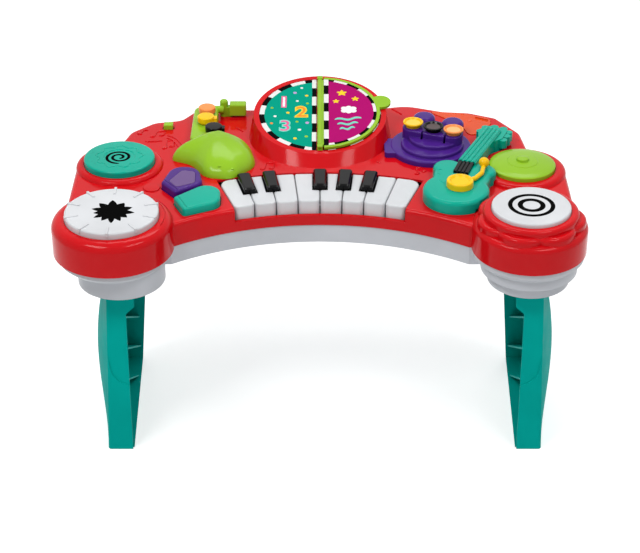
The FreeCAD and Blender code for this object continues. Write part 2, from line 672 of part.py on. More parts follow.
def horn_body():
    """The valve block with three round wells, a cross tube, a round post and the mouthpiece."""
    top = DECK_Z + HORN_RISE
    block = horn_block()
    block = block.makeFillet(3.0, edges_at(block, lambda m: abs(m.z - top) < 1e-3))
    tube = Part.makeCylinder(4.5, 18, V(-134, 150, DECK_Z + 10), V(1, 0, 0))
    post = turned(-116, 155, [(0, DECK_Z), (5.0, DECK_Z), (5.0, DECK_Z + 21, 4), (0, DECK_Z + 21)])
    mouth = box(-109, 147, DECK_Z + 3, -89, 160, DECK_Z + 17)
    mouth = mouth.makeFillet(2.0, edges_at(mouth, lambda m: m.x > -90 or m.z > DECK_Z + 16.9))
    neck = box(-116, 150.5, DECK_Z, -106, 158.5, DECK_Z + 12)
    wells = [disc(x, y, HORN_KEY_R - 2, top - 6, top + 30) for x, y in HORN_KEYS_AT]
    return fuse([block, tube, post, mouth, neck]).cut(wells).cut(horn_key_room())


def horn_key_room():
    """The room that the horn keys' caps need over the block."""
    top = DECK_Z + HORN_RISE
    reach = HORN_KEY_R + 4
    return [disc(x, y, HORN_KEY_R + 1, top, top + 30).fuse(box(x, y - 5, top, x + reach, y + 5, top + 30))
            for x, y in HORN_KEYS_AT]


def horn_key(number):
    """Horn key 1 to 3 from the back: a round cap with a short tail to the right, on a stem in its well."""
    x, y = HORN_KEYS_AT[number - 1]
    top = DECK_Z + HORN_RISE
    cap = turned(x, y, [(0, top + HORN_KEY_TRAVEL + 0.4), (HORN_KEY_R, top + HORN_KEY_TRAVEL + 0.4),
                        (HORN_KEY_R, top + 9, 1.5), (0, top + 9)])
    tail = box(x, y - 4, top + HORN_KEY_TRAVEL + 0.4, x + HORN_KEY_R + 3, y + 4, top + 7)
    stem = disc(x, y, HORN_KEY_R - 2.5, top - 3.2, top + 3)
    if number == 1:
        tail = box(x, y - HORN_KEY_R + 2, top + HORN_KEY_TRAVEL + 0.4, x + 5, y, top + 7)
    return fuse([cap, tail, stem])


def kit_body():
    """The purple drum kit: stepped round mounds, a straight block with three wells, two round ears
    behind it and a low tab at its left."""
    crest = DECK_Z + KIT_RISE
    steps = [turned(a, b, [(0, DECK_Z), (r, DECK_Z), (r, DECK_Z + rise, 2), (0, DECK_Z + rise)])
             for a, b, r, rise in ((*KIT_AT, KIT_R, 6.5), (131, 62, 36.5, 10.5), (133.8, 70.5, 30.5, 15))]
    front = rounded_prism(KIT_BLOCK, DECK_Z, crest)
    front = front.makeFillet(1.5, edges_at(front, lambda m: abs(m.z - crest) < 1e-3))
    back = rounded_prism(((103, 78, 4), (160, 56, 4), (166, 94, 8), (122, 120, 8)), DECK_Z, crest - 8)
    ears = [turned(a, b, [(0, DECK_Z), (13, DECK_Z), (13, crest - 3, 5), (0, crest - 3)])
            for a, b in ((124, 116), (157, 101))]
    tab = rounded_prism(((75, 42, 4), (95, 42, 2), (95, 80, 2), (75, 80, 2)), DECK_Z, DECK_Z + 6)
    wells = [disc(a, b, KIT_DISC_R - 3, crest - 5, crest + 30) for a, b in KIT_DISCS_AT]
    room = [disc(a, b, KIT_DISC_R + 0.6, crest, crest + 30) for a, b in KIT_DISCS_AT]
    slots = [placed(box(-1.3, -3, DECK_Z + 12, 1.3, 5, crest + 1), a, b, 0, -22.4)
             for a, b in ((118.4, 62.5), (144.0, 52.0))]
    return fuse(steps + [front, back] + ears + [tab]).cut(wells + room + slots + book_mound(SEAT_GAP))


def kit_disc(number):
    """Drum kit button 1 to 3 from the left: a thin dished disc with a rim, on a stem."""
    x, y = KIT_DISCS_AT[number - 1]
    low = DECK_Z + KIT_RISE + 2.6
    cap = turned(x, y, [(0, low), (KIT_DISC_R - 4, low), (KIT_DISC_R, low + 1.8),
                        (KIT_DISC_R, low + 3.4, 0.7), (KIT_DISC_R - 2, low + 3.4),
                        (KIT_DISC_R - 3.5, low + 1.6), (0, low + 1.6)])
    return cap.fuse(disc(x, y, KIT_DISC_R - 3.5, low - 4.8, low + 0.8)).removeSplitter()


# Guitar, drawn with the middle of its lower bout at the origin and its neck along +Y
def guitar_body():
    """The teal guitar: two bouts, rounded shoulders and a neck with a pegged headstock."""
    top = GUITAR_RISE
    lower = disc(0, 0, GUITAR_BOUT_R, 0, top)
    waist = rounded_prism(((-31, 8, 3), (31, 8, 3), (33, 54, 10), (-33, 54, 10)), 0, top)
    shoulders = [disc(side * 19, 49, 17, 0, top) for side in (-1, 1)]
    body = fuse([lower, waist] + shoulders)
    body = body.makeFillet(5.0, edges_at(body, lambda m: abs(m.z - top) < 1e-3))
    body = placed(body, GUITAR_AT[0], GUITAR_AT[1], DECK_Z, -GUITAR_LEAN_DEG)
    neck = [
        rounded_prism(((157, 2, 0), (176, -6, 0), (212, 76, 0), (195, 86, 0)),
                      DECK_Z, DECK_Z + GUITAR_RISE + 3),
        rounded_prism(((184, 62, 4), (203, 53, 4), (212, 60, 4), (221, 84, 5), (198, 94, 5), (186, 84, 4)),
                      DECK_Z, DECK_Z + GUITAR_RISE + 1),
    ]
    pegs = [disc(px, py, 4.6, DECK_Z + 4, DECK_Z + GUITAR_RISE) for px, py in (
        (188, 82), (195, 92), (206, 93), (216, 88), (221, 79), (218, 69), (213, 59))]
    strings = []
    for share in (0.125, 0.375, 0.625, 0.875):
        foot = V(157 + 19 * share, 2 - 8 * share, DECK_Z + GUITAR_RISE + 2.8)
        head = V(195 + 17 * share, 86 - 10 * share, DECK_Z + GUITAR_RISE + 2.8)
        strings.append(Part.makeCylinder(1.6, (head - foot).Length, foot, head - foot))
    whole = fuse([body] + neck + pegs + strings)
    x, y = TOM_AT
    room = [
        disc(x, y, TOM_HOUSING_R + SEAT_GAP, DECK_Z - 1, TOM_WALL_Z + SEAT_GAP),
        disc(x, y, TOM_R + 18, DECK_Z - 1, TOM_TIER_Z + SEAT_GAP),
        disc(REAR_DRUM_R[0], REAR_DRUM_R[1], REAR_HOUSING_R + SEAT_GAP, DECK_Z - 1, REAR_RIM_Z + SEAT_GAP),
        disc(REAR_DRUM_R[0], REAR_DRUM_R[1], CYMBAL_R + 1.5, DECK_Z, DECK_Z + 40),
        disc(KIT_AT[0], KIT_AT[1], KIT_R + SEAT_GAP, DECK_Z - 1, DECK_Z + 20),
        disc(LEVER_AT[0], LEVER_AT[1], 3.0 + SHAFT_GAP, DECK_Z + 2, DECK_Z + 40),
        strings_block(SEAT_GAP, 1.0),
    ]
    return whole.cut(room)


def strings_block(grow=0.0, sink=0.8):
    """The block at the neck's foot, in the table's frame."""
    top = GUITAR_RISE
    return placed(box(-12.2 - grow, 32 - grow, top - sink, 4.8 + grow, 58 + grow, top + 3.2 + grow * 10),
                  GUITAR_AT[0], GUITAR_AT[1], DECK_Z, -GUITAR_LEAN_DEG - 4)


def guitar_strings():
    """The black ribbed block where the strings cross the body."""
    top = GUITAR_RISE
    grooves = [placed(box(x - 0.7, 30, top + 1.6, x + 0.7, 60, top + 5),
                      GUITAR_AT[0], GUITAR_AT[1], DECK_Z, -GUITAR_LEAN_DEG - 4) for x in (-7.9, -3.7, 0.5)]
    return strings_block().cut(grooves)


def guitar_lever():
    """The yellow knob with a bent arm and a ball tip, turning on a shaft in the body."""
    x, y = LEVER_AT
    low = DECK_Z + GUITAR_RISE + SEAT_GAP
    knob = turned(x, y, [(0, low), (LEVER_R, low), (LEVER_R, low + 7.8, 1.8), (LEVER_R - 3.5, low + 7.8),
                         (LEVER_R - 5.5, low + 5.8), (0, low + 5.8)])
    shaft = disc(x, y, 3.0, DECK_Z + 3, low + 1)
    path = [V(px, py, low + 3.0) for px, py in LEVER_PATH]
    arms = [Part.makeCylinder(2.6, (b - a).Length, a, b - a) for a, b in zip(path, path[1:])]
    bends = [Part.makeSphere(2.6, point) for point in path[1:-1]]
    ball = Part.makeSphere(LEVER_BALL_R, path[-1] + V(0, 0, 3.2))
    return fuse([knob, shaft] + arms + bends + [ball])


def pedal(outline, window=False):
    """A pedal: a hollow cap through the deck on two pins at its flat end."""
    low = DECK_Z - PEDAL_DEPTH
    high = DECK_Z + PEDAL_RISE
    cap = rounded_prism(outline, low, high)
    cap = cap.makeFillet(3.4, edges_at(cap, lambda m: abs(m.z - high) < 1e-3))
    cap = cap.cut(offset_prism(outline, -2.4, low - 1, high - 2.6))
    middle, half, along, inward = pedal_hinge(outline)
    angle = math.degrees(math.atan2(along.y, along.x))
    pin = Part.makeCylinder(PEDAL_PIN_R, 2 * half + 8.4, V(-half - 4.2, 0, low + PEDAL_PIN_R + 1), V(1, 0, 0))
    parts = [cap, placed(pin, middle.x, middle.y, 0, angle)]
    cx, cy = pedal_middle(outline)
    parts.append(disc(cx, cy, 3.5, PEDAL_STUD_Z, high - 2))
    whole = fuse(parts)
    groove = placed(box(-half - 9, -0.6, high - 0.6, half + 9, 0.4, high + 1), middle.x, middle.y, 0, angle)
    if window:
        whole = whole.cut(window_prism(SEAT_GAP, high - 1.2, high + 1))
    return whole.cut(groove)


WINDOW_OUTLINE = ((-169, -33, 3), (-160, -47, 3), (-140, -37, 6), (-141, -11, 6), (-156, -7, 6))


def window_prism(grow, bottom, top):
    """The translucent inset's outline between two heights."""
    return offset_prism(WINDOW_OUTLINE, grow, bottom, top)


def pedal_window():
    """The translucent inset of the purple pedal."""
    high = DECK_Z + PEDAL_RISE
    return rounded_prism(WINDOW_OUTLINE, high - 1.2, high + 0.2)


def power_slider():
    """The lime power slider: a knob, a neck through the slot and a plate under the deck."""
    x, y = SLIDER_AT
    knob = box(x - 5.5, y - 5, DECK_Z + 0.2, x + 5.5, y + 5, DECK_Z + 6)
    knob = knob.makeFillet(1.2, edges_at(knob, lambda m: m.z > DECK_Z + 5.9))
    neck = box(x - 4, y - 2.2, DECK_Z - WALL - 1.5, x + 4, y + 2.2, DECK_Z + 1)
    plate = box(x - 6, y - 5, DECK_Z - WALL - 2, x + 6, y + 5, DECK_Z - WALL - 0.2)
    return fuse([knob, neck, plate])


def slide_switch():
    """The switch that the slider moves, on a tall post of the base."""
    x, y = SLIDER_AT
    return box(x - 9, y - 5, DECK_Z - 14, x + 9, y + 5, DECK_Z - 7)


def light_cover():
    """The orange translucent cover of the lamps, let into the deck with a low lip at its corner."""
    plate = rounded_prism(LIGHT_OUTLINE, DECK_Z - 1.5, DECK_Z + 0.8)
    lip = rounded_prism(((188, 149, 1), (203, 141, 1), (202, 138, 1), (187, 146, 1)), DECK_Z, DECK_Z + 2.5)
    return fuse([plate, lip])


def light_lamps():
    """Three lamps on a small board under the cover."""
    board = box(164, 132, DECK_Z - 16, 202, 148, DECK_Z - 16 + BOARD_THICK)
    lamps = [turned(x, 140, [(0, DECK_Z - 15), (2.5, DECK_Z - 15), (2.5, DECK_Z - 6, 2), (0, DECK_Z - 6)])
             for x in (173, 184, 195)]
    return fuse([board] + lamps)


# Picture book, drawn about its page plane
LEAF_R = BOOK_R - 1.0
SPINE_LENGTH = 2 * (BOOK_R - SPINE_BLOCK) - 1.4


def half_disc(radius, edge, bottom, top, side=1):
    """The part of a disc beyond a straight edge beside the spine."""
    near, far = (edge, radius + 50) if side > 0 else (-radius - 50, -edge)
    beyond = box(near, -radius - 1, bottom - 1, far, radius + 1, top + 1)
    return disc(0, 0, radius, bottom, top).common(beyond)


def book_cards():
    """The two half-round picture cards that line the book's recess."""
    return in_book(Part.makeCompound([
        half_disc(BOOK_R - SEAT_GAP, SPINE_R + 1, CARD_FLOOR, CARD_TOP, side) for side in (-1, 1)]))


def book_spine():
    """The two fixed blocks that hold the leaf's hinge pins."""
    low = CARD_FLOOR
    blocks = []
    for side in (-1, 1):
        inner = side * (BOOK_R - SPINE_BLOCK)
        outer = side * (BOOK_R - 0.6)
        block = box(-SPINE_R, min(inner, outer), low, SPINE_R, max(inner, outer), SPINE_R)
        blocks.append(block)
    bore = Part.makeCylinder(SPINE_PIN_R + SHAFT_GAP, 2 * BOOK_R, V(0, -BOOK_R, 0), V(0, 1, 0))
    return in_book(Part.makeCompound([b.cut(bore) for b in blocks]))


def leaf_outline():
    """The leaf's frame with its tab: half a disc beyond the hinge barrel."""
    half = LEAF_THICK / 2
    page = half_disc(LEAF_R, 1.0, -half, half)
    a = math.radians(LEAF_TAB_DEG)
    tab = disc((LEAF_TAB_R - 12) * math.cos(a), (LEAF_TAB_R - 12) * math.sin(a), 12, -half, half)
    return page.fuse(tab)


def book_leaf():
    """The lime frame of the turning leaf with its hinge barrel and pins."""
    half = LEAF_THICK / 2
    frame = leaf_outline()
    keep = BOOK_R - SPINE_BLOCK - 0.7
    frame = frame.cut([box(-10, keep, -5, SPINE_R + 1.5, BOOK_R + 5, 5),
                       box(-10, -BOOK_R - 5, -5, SPINE_R + 1.5, -keep, 5)])
    barrel = Part.makeCylinder(SPINE_R, SPINE_LENGTH, V(0, -SPINE_LENGTH / 2, 0), V(0, 1, 0))
    pins = Part.makeCylinder(SPINE_PIN_R, 2 * (BOOK_R - 2), V(0, -BOOK_R + 2, 0), V(0, 1, 0))
    whole = fuse([frame, barrel, pins])
    return in_book(whole.cut([half_disc(LEAF_R - 4, SPINE_R + 1.2, half - 0.6, half + 1),
                              half_disc(LEAF_R - 4, SPINE_R + 1.2, -half - 1, -half + 0.6)]))


def leaf_cards():
    """The picture cards on both faces of the leaf."""
    half = LEAF_THICK / 2
    return in_book(Part.makeCompound([
        half_disc(LEAF_R - 4.2, SPINE_R + 1.4, half - 0.6, half),
        half_disc(LEAF_R - 4.2, SPINE_R + 1.4, -half, -half + 0.6)]))


# Legs, drawn as the right leg: x from the leg's middle at its top, outward
def leg_section(z, inset, open_side):
    """One level of the leg: straight front, back and inner sides and a bowed outer side."""
    share = 1 - z / LEG_HEIGHT
    width = LEG_WIDTH_TOP + (LEG_WIDTH_FOOT - LEG_WIDTH_TOP) * share
    middle = LEG_SPLAY * share
    outer = middle + width / 2 - inset
    inner = middle - width / 2 - (8 if open_side else 0)
    inner_back = inner + (0 if open_side else 6 * share)
    bulge = 1.0 + (LEG_BULGE - 1.0) * math.sin(math.pi * (0.04 + 0.92 * z / LEG_HEIGHT))
    front = LEG_FRONT_Y + inset
    back = LEG_FRONT_Y + LEG_DEPTH - inset
    corner = 4.0 if not inset else 2.0
    k = corner * (1 - math.sqrt(0.5))
    points = [V(outer - corner, front, z), V(outer, front + corner, z), V(outer, back - corner, z),
              V(outer - corner, back, z)]
    return Part.Wire([
        Part.LineSegment(V(inner, front, z), points[0]).toShape(),
        Part.Arc(points[0], V(outer - k, front + k, z), points[1]).toShape(),
        Part.Arc(points[1], V(outer + bulge, (front + back) / 2, z), points[2]).toShape(),
        Part.Arc(points[2], V(outer - k, back - k, z), points[3]).toShape(),
        Part.LineSegment(points[3], V(inner_back, back, z)).toShape(),
        Part.LineSegment(V(inner_back, back, z), V(inner, front, z)).toShape(),
    ])


def plug_prism(grow, bottom, top):
    """The plug on top of the leg, or its socket."""
    half = LEG_WIDTH_TOP / 2 - 3
    front = LEG_FRONT_Y + 5
    back = LEG_FRONT_Y + LEG_DEPTH - 8
    points = ((-half, front, 5), (half, front, 5), (half, back, 5), (-half, back, 5))
    return offset_prism(points, grow, bottom, top) if grow else rounded_prism(points, bottom, top)


def leg():
    """A hollow leg panel open to the knee space, with slanting ribs, a wide foot and a plug."""
    levels = (0.0, LEG_HEIGHT * 0.28, LEG_HEIGHT * 0.55, LEG_HEIGHT * 0.8, LEG_HEIGHT)
    shell = Part.makeLoft([leg_section(z, 0, False) for z in levels], True, False)
    inner_levels = (LEG_WALL, LEG_HEIGHT * 0.28, LEG_HEIGHT * 0.55, LEG_HEIGHT * 0.8, LEG_HEIGHT - LEG_WALL)
    hollow = Part.makeLoft([leg_section(z, LEG_WALL, True) for z in inner_levels], True, False)
    ribs = []
    for k in range(4):
        rib = box(-30, -LEG_DEPTH, -1, 60, LEG_DEPTH, 1)
        rib.rotate(V(0, 0, 0), V(1, 0, 0), -32)
        rib.translate(V(0, LEG_FRONT_Y + LEG_DEPTH / 2, 35 + k * 42))
        keep = rib.common(hollow)
        ribs.append(keep.cut(box(-60, LEG_FRONT_Y - 5, -5, 2, LEG_FRONT_Y + LEG_DEPTH + 5, LEG_HEIGHT + 5)))
    frame = shell.cut(hollow)
    notch = rounded_prism(((-40, -5, 0), (-3.5, -5, 3), (-5, LEG_HEIGHT - 30, 4), (-15.6, LEG_HEIGHT - 20, 0),
                           (-40, LEG_HEIGHT - 20, 0)), 0, LEG_WALL + 1)
    step = rounded_prism(((40, 140, 0), (19.5, 140, 10), (14, 92, 26), (-40, 80, 0), (-40, 260, 0),
                          (40, 260, 0)), 0, 1.2)
    for shape, depth in ((notch, LEG_WALL + 1), (step, 1.2)):
        shape.rotate(V(0, 0, 0), V(1, 0, 0), 90)
        shape.translate(V(0, LEG_FRONT_Y + depth, 0))
    plug = plug_prism(0, LEG_HEIGHT - 1, LEG_HEIGHT + LEG_PLUG_HEIGHT).cut(
        plug_prism(-3, LEG_HEIGHT - LEG_WALL - 1, LEG_HEIGHT + LEG_PLUG_HEIGHT - 3))
    frame = fuse([frame, plug]).cut(plug_prism(-3, LEG_HEIGHT - LEG_WALL - 1, LEG_HEIGHT + 1))
    return fuse([frame] + ribs).cut([notch, step])


def leg_right():
    """The right leg in its place."""
    return placed(leg(), LEG_X_R, 0)


def leg_left():
    """The left leg, the right one's mirror image."""
    return placed(leg().mirror(V(0, 0, 0), V(1, 0, 0)), LEG_X_L, 0)


# Lower housing
CUP_TAIL_HALF = LEG_WIDTH_TOP / 2 + 12
CUP_BACK_Y = LEG_FRONT_Y + LEG_DEPTH + 6


def floor_under(x, y):
    """Where a post starts: inside a socket cup it stands on the cup's floor, elsewhere on the base's."""
    for leg_x in (LEG_X_L, LEG_X_R):
        in_round = math.hypot(x - leg_x, y - FRONT_DRUM_Y) < CUP_R - 7
        if in_round or (abs(x - leg_x) < CUP_TAIL_HALF - 4 and y < CUP_BACK_Y - 4):
            return SOCKET_Z + 1
    return BASE_Z + BASE_WALL - 0.5


def cup(grow, bottom, top, radius=CUP_R):
    """The socket cup under a front drum, drawn with the leg's middle at x = 0: a round front that
    narrows towards the back."""
    y = FRONT_DRUM_Y
    half = CUP_TAIL_HALF
    tail = ((-half, y, 0), (half, y, 0), (half, CUP_BACK_Y, 14), (-half, CUP_BACK_Y, 14))
    return disc(0, y, radius + grow, bottom, top).fuse(
        offset_prism(tail, grow, bottom, top) if grow else rounded_prism(tail, bottom, top)).removeSplitter()


def base_outer():
    """The outside of the pale lower housing."""
    body = body_prism(BASE_Z, PARTING_Z, -BASE_INSET)
    mound_r = BOOK_R + BOOK_RIM_WIDTH + BOOK_FLARE - BASE_INSET
    shapes = [body, disc(0, BOOK_BASE_Y, mound_r, BASE_Z, PARTING_Z)]
    corner = box(FLANK_L - 5, FRONT_DRUM_Y - 5, BASE_Z - 1, LEG_X_L - 10, FRONT_DRUM_Y + 70, PARTING_Z - 9)
    shapes[0] = body.cut([corner, box(LEG_X_R + 10, FRONT_DRUM_Y - 5, BASE_Z - 1, FLANK_R + 5,
                                      FRONT_DRUM_Y + 70, PARTING_Z - 9)])
    skirt = FRONT_HOUSING_R - BASE_DRUM_INSET
    for at in (SNARE_AT, TOM_AT):
        shapes.append(turned(at[0], at[1], [(0, PARTING_Z - 13), (skirt - 6, PARTING_Z - 13),
                                            (skirt, PARTING_Z - 7), (skirt, PARTING_Z), (0, PARTING_Z)]))
    shapes.append(placed(cup(0, SOCKET_Z, PARTING_Z - 4), LEG_X_L, 0))
    shapes.append(placed(cup(0, SOCKET_Z, PARTING_Z - 4, CUP_R - 3), LEG_X_R, 0))
    shapes.append(disc(LEG_X_R, FRONT_DRUM_Y, CUP_R + 5, BASE_Z - 2, PARTING_Z - 4))
    return fuse(shapes)


def base_cavity():
    """The hollow inside the lower housing, open above."""
    high = PARTING_Z + 1
    floor = BASE_Z + BASE_WALL
    near, far = FRONT_DRUM_Y - 5, FRONT_DRUM_Y + 70 + BASE_WALL
    spaces = [
        body_prism(floor, high, -BASE_INSET - BASE_WALL).cut([
            box(FLANK_L - 5, near, floor - 1, LEG_X_L - 10, far, PARTING_Z - 6.5),
            box(LEG_X_R + 10, near, floor - 1, FLANK_R + 5, far, PARTING_Z - 6.5)]),
        disc(0, BOOK_BASE_Y, BOOK_R + BOOK_RIM_WIDTH + BOOK_FLARE - BASE_INSET - BASE_WALL, floor, high),
    ]
    skirt = FRONT_HOUSING_R - BASE_DRUM_INSET - BASE_WALL
    for at in (SNARE_AT, TOM_AT):
        spaces.append(turned(at[0], at[1], [(0, PARTING_Z - 10), (skirt - 6, PARTING_Z - 10),
                                            (skirt, PARTING_Z - 4.5), (skirt, high), (0, high)]))
    spaces.append(placed(cup(-BASE_WALL, SOCKET_Z + BASE_WALL, high - 5), LEG_X_L, 0))
    spaces.append(placed(cup(-BASE_WALL, SOCKET_Z + BASE_WALL, high - 5, CUP_R - 3), LEG_X_R, 0))
    return fuse(spaces)


COMPARTMENT_HALF = (BATTERY_LENGTH / 2 + 3.5, BATTERY_COUNT * BATTERY_R + 1.5)
COMPARTMENT_HEIGHT = 2 * BATTERY_R + 4.0


def compartment(grow, bottom, top):
    """The battery compartment's outline between two heights."""
    x, y = BATTERY_CENTRE
    a, b = COMPARTMENT_HALF
    return box(x - a - grow, y - b - grow, bottom, x + a + grow, y + b + grow, top)


def base_housing():
    """The pale lower housing: skirt, leg sockets, battery compartment, speaker grille and bosses."""
    shell = base_outer().cut(base_cavity())
    x, y = BATTERY_CENTRE
    sx, sy = SPEAKER_CENTRE
    floor = BASE_Z + BASE_WALL
    plug_top = SOCKET_Z + LEG_PLUG_HEIGHT + 1
    adds = [
        compartment(2, BASE_Z, BASE_Z + COMPARTMENT_HEIGHT + 2),
        ring(sx, sy, SPEAKER_R + 2.3, SPEAKER_R + 0.3, floor - 0.5, floor + 4),
    ]
    cuts = [
        compartment(0, BASE_Z - 1, BASE_Z + COMPARTMENT_HEIGHT),
        box(x + COMPARTMENT_HALF[0] - 1, y - 6, BASE_Z - 1, x + COMPARTMENT_HALF[0] + 8, y + 6, floor),
    ]
    for radius, count in ((0, 1), (7, 6), (14, 12)):
        for k in range(count):
            a = 2 * math.pi * k / count
            hole = sx + radius * math.cos(a), sy + radius * math.sin(a)
            cuts.append(disc(*hole, 1.6, BASE_Z - 1, floor + 1))
    for leg_x in (LEG_X_L, LEG_X_R):
        adds.append(placed(plug_prism(SEAT_GAP + 2.2, SOCKET_Z, plug_top + 2.2), leg_x, 0))
        cuts.append(placed(plug_prism(SEAT_GAP, SOCKET_Z - 1, plug_top), leg_x, 0))
    for px, py in SCREW_SPOTS:
        adds.append(disc(px, py, 5.5, BASE_Z, PARTING_Z))
        cuts.append(disc(px, py, SCREW_R + 0.2, BASE_Z - 1, PARTING_Z + 1))
        cuts.append(disc(px, py, 3.4, BASE_Z - 1, PARTING_Z - 8))
    door_x = x + COMPARTMENT_HALF[0] + 4
    adds.append(disc(door_x, y, 3.8, BASE_Z, BASE_Z + 11))
    cuts.append(disc(door_x, y, SCREW_R + SHAFT_GAP, BASE_Z - 1, BASE_Z + 10))
    for at, r, rim_z in PADS:
        for px, py in post_spots(at):
            adds.append(disc(px, py, 3.2, floor_under(px, py), pad_board_top(rim_z) - BOARD_THICK))
    for angle in (-15, -9, -3, 3, 9, 15):
        adds.append(swung(disc(0, FAN_Y + KEY_FRONT_R + 42, 3, floor - 0.5, KEY_BOARD_Z), angle))
        adds.append(swung(disc(0, FAN_Y + KEY_PIN_ROW_R + 1, 3, floor - 0.5, LOW_Z), angle))
    for px, py in MAIN_BOARD_POSTS:
        adds.append(disc(px, py, 3, floor - 0.5, MAIN_BOARD_Z))
    for outline in (PEDAL_PURPLE, PEDAL_TEAL):
        px, py = pedal_middle(outline)
        adds.append(disc(px, py, 3.2, floor_under(px, py), PEDAL_BOARD_Z - BOARD_THICK))
    adds.append(disc(SLIDER_AT[0], SLIDER_AT[1], 3.5, floor - 0.5, DECK_Z - 14))
    for px in (168, 198):
        adds.append(disc(px, 140, 3, floor - 0.5, DECK_Z - 16))
    return fuse([shell] + adds).cut(cuts)


MAIN_BOARD_Z = BASE_Z + 8.0
MAIN_BOARD = (-45.0, 38.0, 45.0, 72.0)
MAIN_BOARD_POSTS = ((-41, 42), (41, 42), (-41, 68), (41, 68))


def main_board():
    """The main circuit board with a few packages on it."""
    x0, y0, x1, y1 = MAIN_BOARD
    board = box(x0, y0, MAIN_BOARD_Z, x1, y1, MAIN_BOARD_Z + BOARD_THICK)
    top = MAIN_BOARD_Z + BOARD_THICK
    return fuse([board, box(-12, 48, top - 0.1, 12, 62, top + 3), box(20, 46, top - 0.1, 32, 54, top + 6),
                 disc(-28, 55, 4, top - 0.1, top + 9)])


def battery_door():
    """The battery door, flush with the base's floor, with a tab under the screw."""
    x, y = BATTERY_CENTRE
    a, b = COMPARTMENT_HALF
    door = compartment(-SEAT_GAP, BASE_Z, BASE_Z + BASE_WALL - 0.3)
    tab = box(x + a - 1, y - 5.7, BASE_Z, x + a + 7.6, y + 5.7, BASE_Z + BASE_WALL - 0.3)
    hole = disc(x + a + 4, y, SCREW_R + 0.2, BASE_Z - 1, BASE_Z + 5)
    head = disc(x + a + 4, y, 3.2, BASE_Z - 1, BASE_Z + 1.2)
    return door.fuse(tab).removeSplitter().cut([hole, head])


def screw(x, y, head_z, length):
    """A round-headed screw pointing up, its head below head_z."""
    return turned(x, y, [(0, head_z - 1.0), (2.8, head_z - 1.0), (2.8, head_z), (SCREW_R, head_z),
                         (SCREW_R, head_z + length), (0, head_z + length)])


def battery_door_screw():
    """The captive screw of the battery door."""
    return screw(BATTERY_CENTRE[0] + COMPARTMENT_HALF[0] + 4, BATTERY_CENTRE[1], BASE_Z + 1.2, 7)


def housing_screws():
    """The screws that close the two housings, in their counterbores."""
    return Part.makeCompound([screw(x, y, PARTING_Z - 8, 18) for x, y in SCREW_SPOTS])


def battery_rows():
    """The middle line of each battery."""
    x, y = BATTERY_CENTRE
    pitch = 2 * BATTERY_R + 0.4
    return [(x, y + (k - (BATTERY_COUNT - 1) / 2) * pitch) for k in range(BATTERY_COUNT)]


def battery_cells():
    """Round cells lying side by side, each with its raised button."""
    z = BASE_Z + BASE_WALL + BATTERY_R
    cells = []
    for k, (x, y) in enumerate(battery_rows()):
        side = 1 if k % 2 else -1
        cell = Part.makeCylinder(BATTERY_R, BATTERY_LENGTH - 1.5, V(x - side * BATTERY_LENGTH / 2, y, z),
                                 V(side, 0, 0))
        button = Part.makeCylinder(2.5, 1.5, V(x + side * (BATTERY_LENGTH / 2 - 1.5), y, z), V(side, 0, 0))
        cells.append(cell.fuse(button))
    return Part.makeCompound(cells)


def battery_contacts():
    """The sheet contacts at both ends of the compartment."""
    x, y = BATTERY_CENTRE
    a, b = COMPARTMENT_HALF
    z = BASE_Z + BASE_WALL + BATTERY_R
    plates = []
    for side in (-1, 1):
        wall = x + side * a
        near = x + side * (BATTERY_LENGTH / 2 + 0.2)
        face = wall - side * 0.5
        plate = box(min(wall, face), y - b + 1, z - 5, max(wall, face), y + b - 1, z + 5)
        plates.append(plate.fuse([Part.makeCone(4, 2, abs(wall - near), V(wall, row, z), V(-side, 0, 0))
                                  for _, row in battery_rows()]))
    return Part.makeCompound(plates)


def speaker():
    """The speaker facing down over its grille: a rim, a cone and a magnet."""
    x, y = SPEAKER_CENTRE
    z = BASE_Z + BASE_WALL
    return turned(x, y, [(0, z + 6), (8, z + 6), (SPEAKER_R - 4, z + 1.5), (SPEAKER_R - 3, z), (SPEAKER_R, z),
                         (SPEAKER_R, z + 2.5), (SPEAKER_R - 3, z + 3.5), (12, z + 9), (12, z + 16),
                         (0, z + 16)])


PARTS = {
    "top_housing": top_housing,
    "base_housing": base_housing,
    "leg_left": leg_left,
    "leg_right": leg_right,
    "battery_door": battery_door,
    "battery_door_screw": battery_door_screw,
    "battery_cells": battery_cells,
    "battery_contacts": battery_contacts,
    "housing_screws": housing_screws,
    "main_board": main_board,
    "speaker": speaker,
    "key_board": key_board,
    "key_domes": key_domes,
    "key_rail": key_rail,
    "snare_pad": snare_pad,
    "tom_pad": lambda: pad(*TOM_AT, TOM_R, TOM_RIM_Z, TOM_PAD_RISE),
    "scratch_pad": scratch_pad,
    "cymbal_pad": cymbal_pad,
    "pad_boards": pad_boards,
    "pad_domes": pad_domes,
    "horn_body": horn_body,
    "horn_bell": horn_bell,
    "kit_body": kit_body,
    "guitar_body": guitar_body,
    "guitar_strings": guitar_strings,
    "guitar_lever": guitar_lever,
    "purple_pedal": lambda: pedal(PEDAL_PURPLE, True),
    "pedal_window": pedal_window,
    "teal_pedal": lambda: pedal(PEDAL_TEAL),
    "power_slider": power_slider,
    "slide_switch": slide_switch,
    "light_cover": light_cover,
    "light_lamps": light_lamps,
    "book_cards": book_cards,
    "book_spine": book_spine,
    "book_leaf": book_leaf,
    "leaf_cards": leaf_cards,
}
for n in range(1, WHITE_KEYS + 1):
    PARTS[f"white_key_{n}"] = lambda n=n: white_key(n)
for n in range(1, len(BLACK_AFTER_WHITE) + 1):
    PARTS[f"black_key_{n}"] = lambda n=n: black_key(n)
for n in range(1, 4):
    PARTS[f"horn_key_{n}"] = lambda n=n: horn_key(n)
    PARTS[f"kit_disc_{n}"] = lambda n=n: kit_disc(n)

